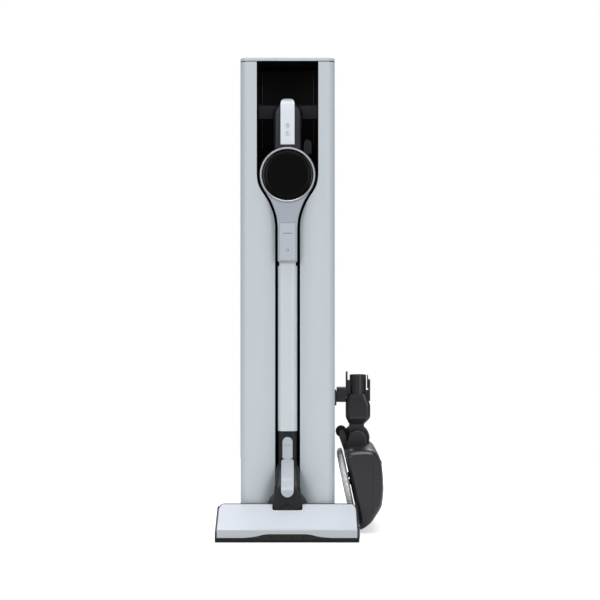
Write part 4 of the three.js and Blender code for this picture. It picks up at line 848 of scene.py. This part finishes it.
lt = prism("Y", [(196, 139)] + smooth_path([(199, 140.6), (203, 142), (204.6, 140.8), (204.8, 137.4), (204.2, 133)], 4) + [(198, 128)], MY - 14, MY + 14)
join(tank, rounded(lt, 1.0, 3, 50))
finish_mesh(tank, "mop_tank_skin", MOP, 0.5, 3, 44, 40)
stand_for(tank, "mop_tank")
mr_ = lathe("mop_roller_skin", [(0, -12 + MY), (10.9, -12 + MY), (12, -10.9 + MY), (12, -4.6 + MY), (11.4, -4.2 + MY), (11.4, -3.8 + MY), (12, -3.4 + MY), (12, 3.4 + MY), (11.4, 3.8 + MY), (11.4, 4.2 + MY), (12, 4.6 + MY), (12, 10.9 + MY), (10.9, 12 + MY), (0, 12 + MY)], "Y", RX, RZ, 64)
ax = cyl("Y", RX, RZ, 2, MY - 17.6, MY + 17.6, 24)
finish_mesh(mr_, "mop_roller_skin", RUBBER, 0)
stand_for(mr_, "mop_roller")
finish_mesh(ax, "mop_roller_axle", STEEL, 0.2, 2)
trim(ax, "mop_wheel")

# mop pads: thick microfibre discs with tufted faces, and a darker gathered edge
for nm, cy, body in (("mop_pad_front", MY - 66, "pad_front"), ("mop_pad_rear", MY + 66, "pad_rear")):
    bm = bmesh.new()
    NA = 144
    prof = [(6.6, 11.0), (20, 11.0), (54, 11.0), (60, 10.6), (62.2, 9.2), (62.9, 7.2), (62.9, 4.6), (62.6, 2.4), (61.2, 0.4), (58.5, -1.2), (54.5, -2.8), (50, -3.8), (45.5, -3.4), (41, -4.4), (36, -3.8), (31, -4.4), (26, -3.8), (21, -4.2), (15, -3.2), (9, -1.4), (6.6, 0.8)]
    rings = []
    for k, (r, d) in enumerate(prof):
        ring_ = []
        for i in range(NA):
            a = 2 * math.pi * i / NA
            sc = 0.5 + 0.5 * math.cos(a * 36)
            rad, dep = r, d
            if 3 <= k <= 9:
                rad = r - 1.1 * (1 - sc)
            if k >= 8:
                dep = d + 1.1 * random.random() + (0.9 if (i // 3 + k) % 2 else 0.0)
            q, p = rad * math.sin(a), rad * math.cos(a)
            ring_.append(bm.verts.new(((PC[0] + NIN[0] * dep + DN[0] * q) * MM, (cy + p) * MM, (PC[1] + NIN[1] * dep + DN[1] * q) * MM)))
        rings.append(ring_)
    for a_, b_ in zip(rings, rings[1:] + rings[:1]):
        for i in range(NA):
            f = bm.faces.new((a_[i], a_[(i + 1) % NA], b_[(i + 1) % NA], b_[i]))
    bmesh.ops.recalc_face_normals(bm, faces=bm.faces)
    me = bpy.data.meshes.new(nm + "_skin"); bm.to_mesh(me); bm.free()
    po = bpy.data.objects.new(nm + "_skin", me); scene.collection.objects.link(po)
    me.materials.append(PAD); me.materials.append(PADEDGE)
    for f in me.polygons:
        f.use_smooth = True
        c = f.center / MM
        dep = (c.x - S0[0]) * NIN[0] + (c.z - S0[1]) * NIN[1]
        f.material_index = 1 if dep > 7.4 else 0
    sb = po.modifiers.new("sub", "SUBSURF"); sb.levels = 1; sb.render_levels = 1
    stand_for(po, nm)

# ------------------------------------------------------------------ finishes on the CAD nodes that show as they are
KEEP_MATS = {"base_plate": DOCK, "foot_mat": RUBBER, "charging_contacts": BRASS, "dock_port": DOCK, "dust_bag": PAPER, "bag_collar": INNER, "air_duct": INNER,
             "tower_motor": STEEL, "exhaust_filter": PAPER, "control_board": BOARD, "power_inlet": DARKER, "filter_element": PAPER, "vac_motor": STEEL, "cyclone_core": STEEL,
             "compressor_ring": RUBBER, "bin_latch": DARKER, "lower_pipe": STEEL, "yoke_pin": STEEL}
shown = {n: o for n, o in frame["nodes"].items()}
for n, mat in KEEP_MATS.items():
    o = shown[n]
    if not o.material_slots:
        o.data.materials.append(mat)
    for sl in o.material_slots:
        sl.link = "OBJECT"
        sl.material = mat
